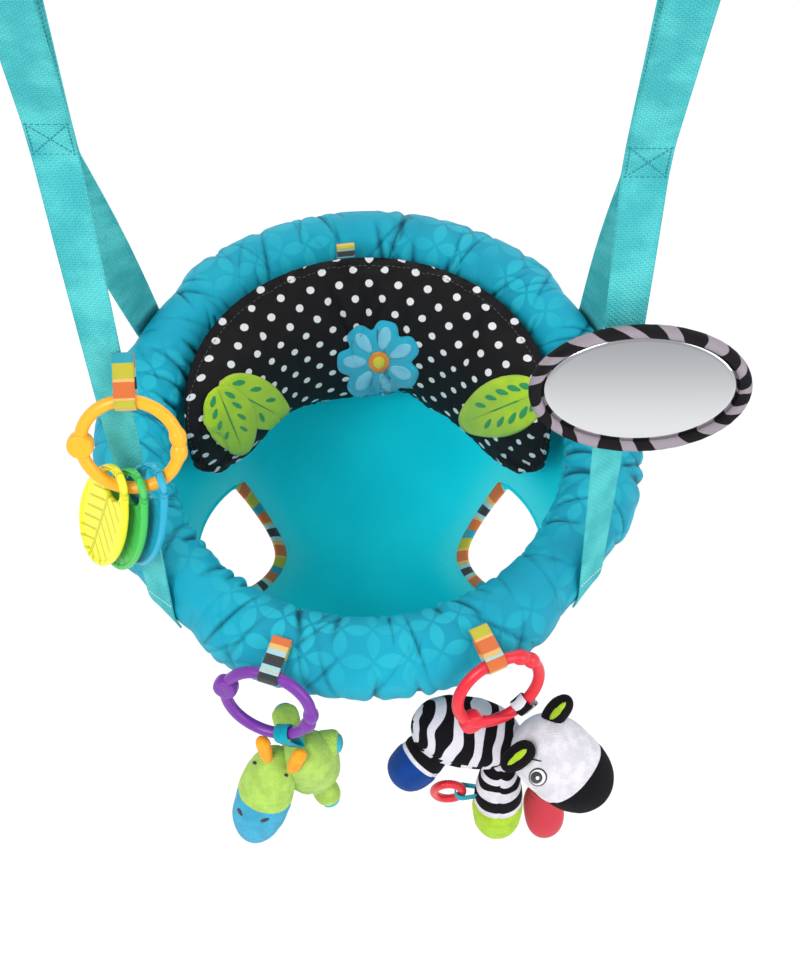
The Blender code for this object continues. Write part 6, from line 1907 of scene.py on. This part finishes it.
coil_tree, enter, leave = geometry_tree("coil", [
    ("Turns", "Float", 17.0),
    ("Radius", "Float", 0.016),
    ("Height", "Float", 0.095),
    ("Wire", "Float", 0.002),
    ("Material", "Material", None),
])
given = enter.outputs
spiral = add_node(coil_tree, "GeometryNodeCurveSpiral", {
    "Resolution": 32, "Rotations": given["Turns"], "Start Radius": given["Radius"],
    "End Radius": given["Radius"], "Height": given["Height"],
})
profile = add_node(coil_tree, "GeometryNodeCurvePrimitiveCircle", {"Resolution": 12, "Radius": given["Wire"]})
sweep = add_node(coil_tree, "GeometryNodeCurveToMesh", {
    "Curve": spiral.outputs["Curve"], "Profile Curve": profile.outputs["Curve"], "Fill Caps": True,
})
finished(coil_tree, enter, leave, sweep.outputs["Mesh"])

source = bpy.data.objects.new("coil_source", bpy.data.meshes.new("coil_source"))
bpy.context.collection.objects.link(source)
bpy.context.view_layer.update()
coil = made_by_nodes("main_spring", coil_tree, source, Turns=float(TURNS), Radius=COIL_RADIUS,
                     Height=coil_top_z - coil_low_z, Wire=SPRING_WIRE, Material=steel)
for vert in coil.data.vertices:
    vert.co += SEAT + at(coil_low_z)
settle(coil, None, "steel", "main_spring")
world_at(coil_top_z)
world_at(coil_low_z)
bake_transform(coil)
for name, body, hook, sign, lead in (
    ("spring_hook_top", "adjuster", at(hook_top_z - HOOK_RADIUS), 1, at(coil_top_z)),
    ("spring_hook_low", "seat", at(hook_low_z + HOOK_RADIUS), -1, at(coil_low_z)),
):
    line = []
    for i in range(HOOK_STEPS + 1):
        turn = math.radians(HOOK_FROM_DEG + HOOK_TURN_DEG * i / HOOK_STEPS)
        line.append(hook + turned(Y_AXIS * sign, Z_AXIS * sign, turn) * HOOK_RADIUS)
    line.append(hook - Z_AXIS * (sign * (HOOK_RADIUS + HOOK_LEAD * 0.3)))
    line += [lead.lerp(hook, 0.2), lead + X_AXIS * COIL_RADIUS]
    line = resampled([f[0] for f in softened([(p,) for p in resampled(line, 0.0012)], 4)], 0.0012)
    settle(tube(name, line, [SPRING_WIRE] * len(line), steel, count=14, up=X_AXIS), body, "steel")

# %% Spring sleeve
SLEEVE_CLEAR, SLEEVE_WALL, SLEEVE_MOUTH, SLEEVE_TAPER = 0.002, 0.0016, 0.0042, 0.006
SLEEVE_ROWS, SLEEVE_COLUMNS, SLEEVE_SLACK, SLEEVE_OVER = 60, 96, 0.0008, 0.9
GATHER, GATHERS, GATHER_REACH, CRUSH, CRUSHES = 0.0010, 13, 0.026, 0.0006, 31
sleeve_cloth = shader("sleeve", (0, 158, 182), 0.6, Sheen_Weight=0.2)
mottled(sleeve_cloth, "UV", 40.0, (0, 148, 172), (6, 170, 192))
woven(sleeve_cloth)
outer = COIL_RADIUS + SPRING_WIRE + SLEEVE_CLEAR + SLEEVE_WALL
top_z, low_z = coil_top_z + HOOK_LEAD * SLEEVE_OVER, coil_low_z - HOOK_LEAD * SLEEVE_OVER
rows = []
for i in range(SLEEVE_ROWS + 1):
    share = i / SLEEVE_ROWS
    z = top_z + (low_z - top_z) * share
    from_end = min(z - low_z, top_z - z)
    swell = ease(from_end / (SLEEVE_TAPER * 1.4)) ** 0.6
    row = []
    for k in range(SLEEVE_COLUMNS):
        turn = math.tau * k / SLEEVE_COLUMNS
        gather = GATHER * math.sin(GATHERS * turn + 3 * math.sin(turn)) * ease(1 - from_end / GATHER_REACH)
        crush = CRUSH * math.sin(share * CRUSHES + 2 * math.sin(turn * 2)) * swell
        reach = SLEEVE_MOUTH + (outer - SLEEVE_SLACK - SLEEVE_MOUTH) * swell + gather * swell + crush
        row.append(at(z) + turned(X_AXIS, Y_AXIS, turn) * reach)
    rows.append(row)
sleeve = surface("spring_sleeve", rows, sleeve_cloth, ring=True)
settle(sleeve, None, "sleeve", "spring_sleeve")
world_at(top_z)
world_at(low_z)
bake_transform(sleeve)

# %% [markdown]
# ## Bar, eye bolt and caps
# The bar, its caps and the bolt's shank and nut are profiles spun round a line, and the eye is a closed
# tube. The bar's wood has its grain along it, from stretched noise.

# %% Turned pieces
def spun(name, profile, start, run, material, count=48):
    """Piece turned on a lathe; the profile's pairs are a distance along run and a radius."""
    side = run.cross(Z_AXIS if abs(run.z) < 0.9 else X_AXIS).normalized()
    rows = []
    for along, radius in profile:
        radius = max(radius, 1e-5)
        rows.append(oval(start + run * along, side, side.cross(run), radius, radius, count))
    piece = surface(name, rows, material, ring=True, caps=True)
    piece.data.set_sharp_from_angle(angle=math.radians(40))
    return piece


def drawn_in(low, high, radius, bevel):
    """Profile of a round bar whose ends are drawn in a little."""
    return [(low, radius * 0.9), (low + bevel, radius), (high - bevel, radius), (high, radius * 0.9)]


wood = shader("wood", (190, 150, 104), 0.5, Coat_Weight=0.25)
tree = wood.node_tree
place_on_bar = tree.nodes.new("ShaderNodeTexCoord").outputs["Object"]
mapping = add_node(tree, "ShaderNodeMapping", {"Scale": (6.0, 160.0, 160.0), "Vector": place_on_bar})
grain = cloudy(tree, mapping.outputs[0], 1.0, 5.0)
blend_colours(wood, soft_step(tree, grain, 0.36, 0.64), (168, 126, 82), (206, 170, 124))
raise_by(wood, grain, 0.0003)
CAP_WALL, CAP_LENGTH, CAP_DEPTH = 0.0032, 0.020, 0.016
reach = STRAP_SPREAD + STRAP_WIDTH / 2 + CAP_LENGTH
end = reach - CAP_WALL - GAP
bar_profile = drawn_in(-end, end, BAR_RADIUS, 0.001)
settle(spun("spreader_bar", bar_profile, at(STRAP_RISE), X_AXIS, wood), "seat", "wood", "spreader_bar")
for name, side in (("spreader_cap_left", -1), ("spreader_cap_right", 1)):
    bore, outer = BAR_RADIUS + GAP, BAR_RADIUS + GAP + CAP_WALL
    mouth, inside = reach - CAP_WALL - CAP_DEPTH, reach - CAP_WALL
    profile = [(inside, 0), (inside, bore), (mouth, bore), (mouth, outer - 0.0008), (mouth + 0.0008, outer)]
    profile += [(inside - 0.004, outer), (inside - 0.0035, outer - 0.0005), (inside - 0.003, outer)]
    for i in range(9):
        turn = math.pi / 2 * i / 8
        profile.append((inside + CAP_WALL * math.sin(turn), outer * (0.78 + 0.22 * math.cos(turn))))
    profile.append((reach, 0))
    settle(spun(name, profile, at(STRAP_RISE), X_AXIS * side, clamp_plastic), "seat", "clamp", name)
circle = oval(at(eye_z), X_AXIS, Z_AXIS, EYE_RADIUS, EYE_RADIUS, EYE_POINTS)
eye_ring = tube("eye_ring", circle, [WIRE] * EYE_POINTS, steel, closed=True, count=18, up=Y_AXIS)
nut_top = STRAP_RISE - BAR_RADIUS - GAP
shank_length = eye_z - EYE_RADIUS - nut_top + NUT_THICK + WIRE
shank_profile = [(0, WIRE * 0.6), (0.0005, WIRE * 0.98), (shank_length, WIRE * 0.9)]
shank = spun("eye_shank", shank_profile, at(eye_z - EYE_RADIUS), -Z_AXIS, steel, 24)
nut = spun("eye_nut", drawn_in(0, NUT_THICK, NUT_RADIUS, 0.0005), at(nut_top), -Z_AXIS, steel, 6)
settle(joined("spreader_eye_bolt", [eye_ring, shank, nut]), "seat", "steel", "spreader_eye_bolt")

# %% [markdown]
# ## Clamp
# The clamp's arms, pads and pin and the strap's buckle already have their shape in the frame. A merged copy
# of each gets rounded edges from a bevel, which catch the light as moulded edges do, and the finish of its
# material.

# %% Clamp and buckle
def rounded(name, body, slot, material, width):
    """Copy of a node's mesh with merged points and bevelled edges."""
    bm = bmesh.new()
    bm.from_mesh(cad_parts[name].data)
    bmesh.ops.remove_doubles(bm, verts=bm.verts, dist=1e-5)
    bmesh.ops.dissolve_limit(bm, angle_limit=math.radians(1), verts=bm.verts, edges=bm.edges)
    bmesh.ops.recalc_face_normals(bm, faces=bm.faces)
    for face in bm.faces:
        face.smooth = True
    piece = put(f"{name}_rounded", bm, material)
    bevel = piece.modifiers.new("rounded edges", "BEVEL")
    bevel.width = width
    bevel.segments = 3
    bevel.limit_method = "ANGLE"
    bevel.angle_limit = math.radians(35)
    bevel.harden_normals = True
    return settle(piece, body, slot, name)


for name, body, slot, material, width in (
    ("clamp_front_arm", "clamp", "clamp", clamp_plastic, 0.0009),
    ("clamp_rear_arm", "rear_jaw", "clamp", clamp_plastic, 0.0009),
    ("clamp_front_pad", "clamp", "rubber", rubber, 0.0004),
    ("clamp_rear_pad", "rear_jaw", "rubber", rubber, 0.0004),
    ("clamp_pivot_pin", "clamp", "steel", steel, 0.0002),
    ("adjusting_buckle", "adjuster", "clamp", clamp_plastic, 0.0007),
):
    rounded(name, body, slot, material, width)

# %% [markdown]
# ## Stitches by Geometry Nodes
# Sewing repeats along a line, so one tree makes all of it: the line is cut into even steps, a short rounded
# stitch is set on each point along the line's run, and the copies are made real. Each seam's line lies a
# hair above the cloth.

# %% Stitch tree
stitches, enter, leave = geometry_tree("stitches", [
    ("Pitch", "Float", 0.0032),
    ("Length", "Float", 0.0022),
    ("Thread", "Float", 0.00028),
    ("Material", "Material", None),
])
given = enter.outputs
line_curve = add_node(stitches, "GeometryNodeMeshToCurve", {"Mesh": given["Geometry"]}).outputs["Curve"]
even_steps = add_node(
    stitches, "GeometryNodeResampleCurve", {"Curve": line_curve, "Length": given["Pitch"]}, mode="LENGTH"
)
tangent = stitches.nodes.new("GeometryNodeInputTangent").outputs["Tangent"]
turned_way = add_node(stitches, "FunctionNodeAlignRotationToVector", {"Vector": tangent}, axis="Z")
bead = add_node(stitches, "GeometryNodeMeshUVSphere", {"Segments": 6, "Rings": 4, "Radius": 1.0})
half_length = calc(stitches, "MULTIPLY", given["Length"], 0.5)
size = {"X": given["Thread"], "Y": given["Thread"], "Z": half_length}
spread = add_node(stitches, "GeometryNodeInstanceOnPoints", {
    "Points": even_steps.outputs["Curve"], "Instance": bead.outputs["Mesh"],
    "Rotation": turned_way.outputs["Rotation"],
    "Scale": add_node(stitches, "ShaderNodeCombineXYZ", size).outputs[0],
})
finished(stitches, enter, leave, spread.outputs["Instances"])


def sewn(name, lines, material, body, slot, **sizes_in):
    """Stitches along lines of points, as one piece on one body."""
    mesh = bpy.data.meshes.new(name)
    points, edges = [], []
    for line in lines:
        first = len(points)
        points += [SEAT + p for p in line]
        edges += [(first + i, first + i + 1) for i in range(len(line) - 1)]
    mesh.from_pydata(points, edges, [])
    source = bpy.data.objects.new(f"{name}_line", mesh)
    bpy.context.collection.objects.link(source)
    bpy.context.view_layer.update()
    piece = made_by_nodes(name, stitches, source, Material=material, **sizes_in)
    return settle(piece, body, slot)


# %% Sewing on the webbing
teal_thread = shader("teal_thread", (30, 128, 138), 0.6)
pale_thread = shader("pale_thread", (206, 224, 226), 0.6)
for thread in (teal_thread, pale_thread):
    raise_by(thread, use(thread, pile, Scale=4000.0).outputs["Height"], 0.0001)


def on_strap(side, u, height, front=True, lift=0.0002):
    """Point just above the webbing's face, u across it from -1 to 1."""
    point, face, run = leg_spot(side, height, front)
    across = face.cross(run).normalized()
    return point + across * (u * STRAP_WIDTH / 2) + run.cross(across) * (CLOTH / 2 + lift)


BOX_HALF, BOX_MARGIN, BOX_STEPS, STRAP_END_LINE, END_LINE_HALF = 0.84, 0.002, 12, 0.010, 0.9
box_lines = []
for side in (-1, 1):
    _, middle = CROSS_BOX_AT[side]
    low, high = middle - CROSS_BOX_LENGTH / 2 + BOX_MARGIN, middle + CROSS_BOX_LENGTH / 2 - BOX_MARGIN
    corners = [(-BOX_HALF, low), (BOX_HALF, low), (BOX_HALF, high), (-BOX_HALF, high)]
    paths = [*zip(corners, corners[1:] + corners[:1]), (corners[0], corners[2]), (corners[1], corners[3])]
    for front in (True, False):
        for (u0, h0), (u1, h1) in paths:
            line = []
            for i in range(BOX_STEPS + 1):
                share = i / BOX_STEPS
                line.append(on_strap(side, u0 + (u1 - u0) * share, h0 + (h1 - h0) * share, front))
            box_lines.append(line)
box_stitch = {"Pitch": 0.0031, "Length": 0.0025, "Thread": 0.00042}
sewn("webbing_stitches", box_lines, teal_thread, "seat", "webbing", **box_stitch)
end_lines = []
for side in (-1, 1):
    end_lines.append([on_strap(side, u / 10 * END_LINE_HALF, STRAP_END_LINE) for u in range(-10, 11)])
end_stitch = {"Pitch": 0.0026, "Length": 0.0023, "Thread": 0.00040}
sewn("webbing_end_stitches", end_lines, pale_thread, "seat", "webbing", **end_stitch)

# %% Sewing on the pillow
dark_thread = shader("dark_thread", (74, 72, 76), 0.6)
pillow_stitch = {"Pitch": 0.0042, "Length": 0.0028, "Thread": 0.00032}
sewn("pillow_stitches", [seam_line], dark_thread, "seat", "pillow_cloth", **pillow_stitch)
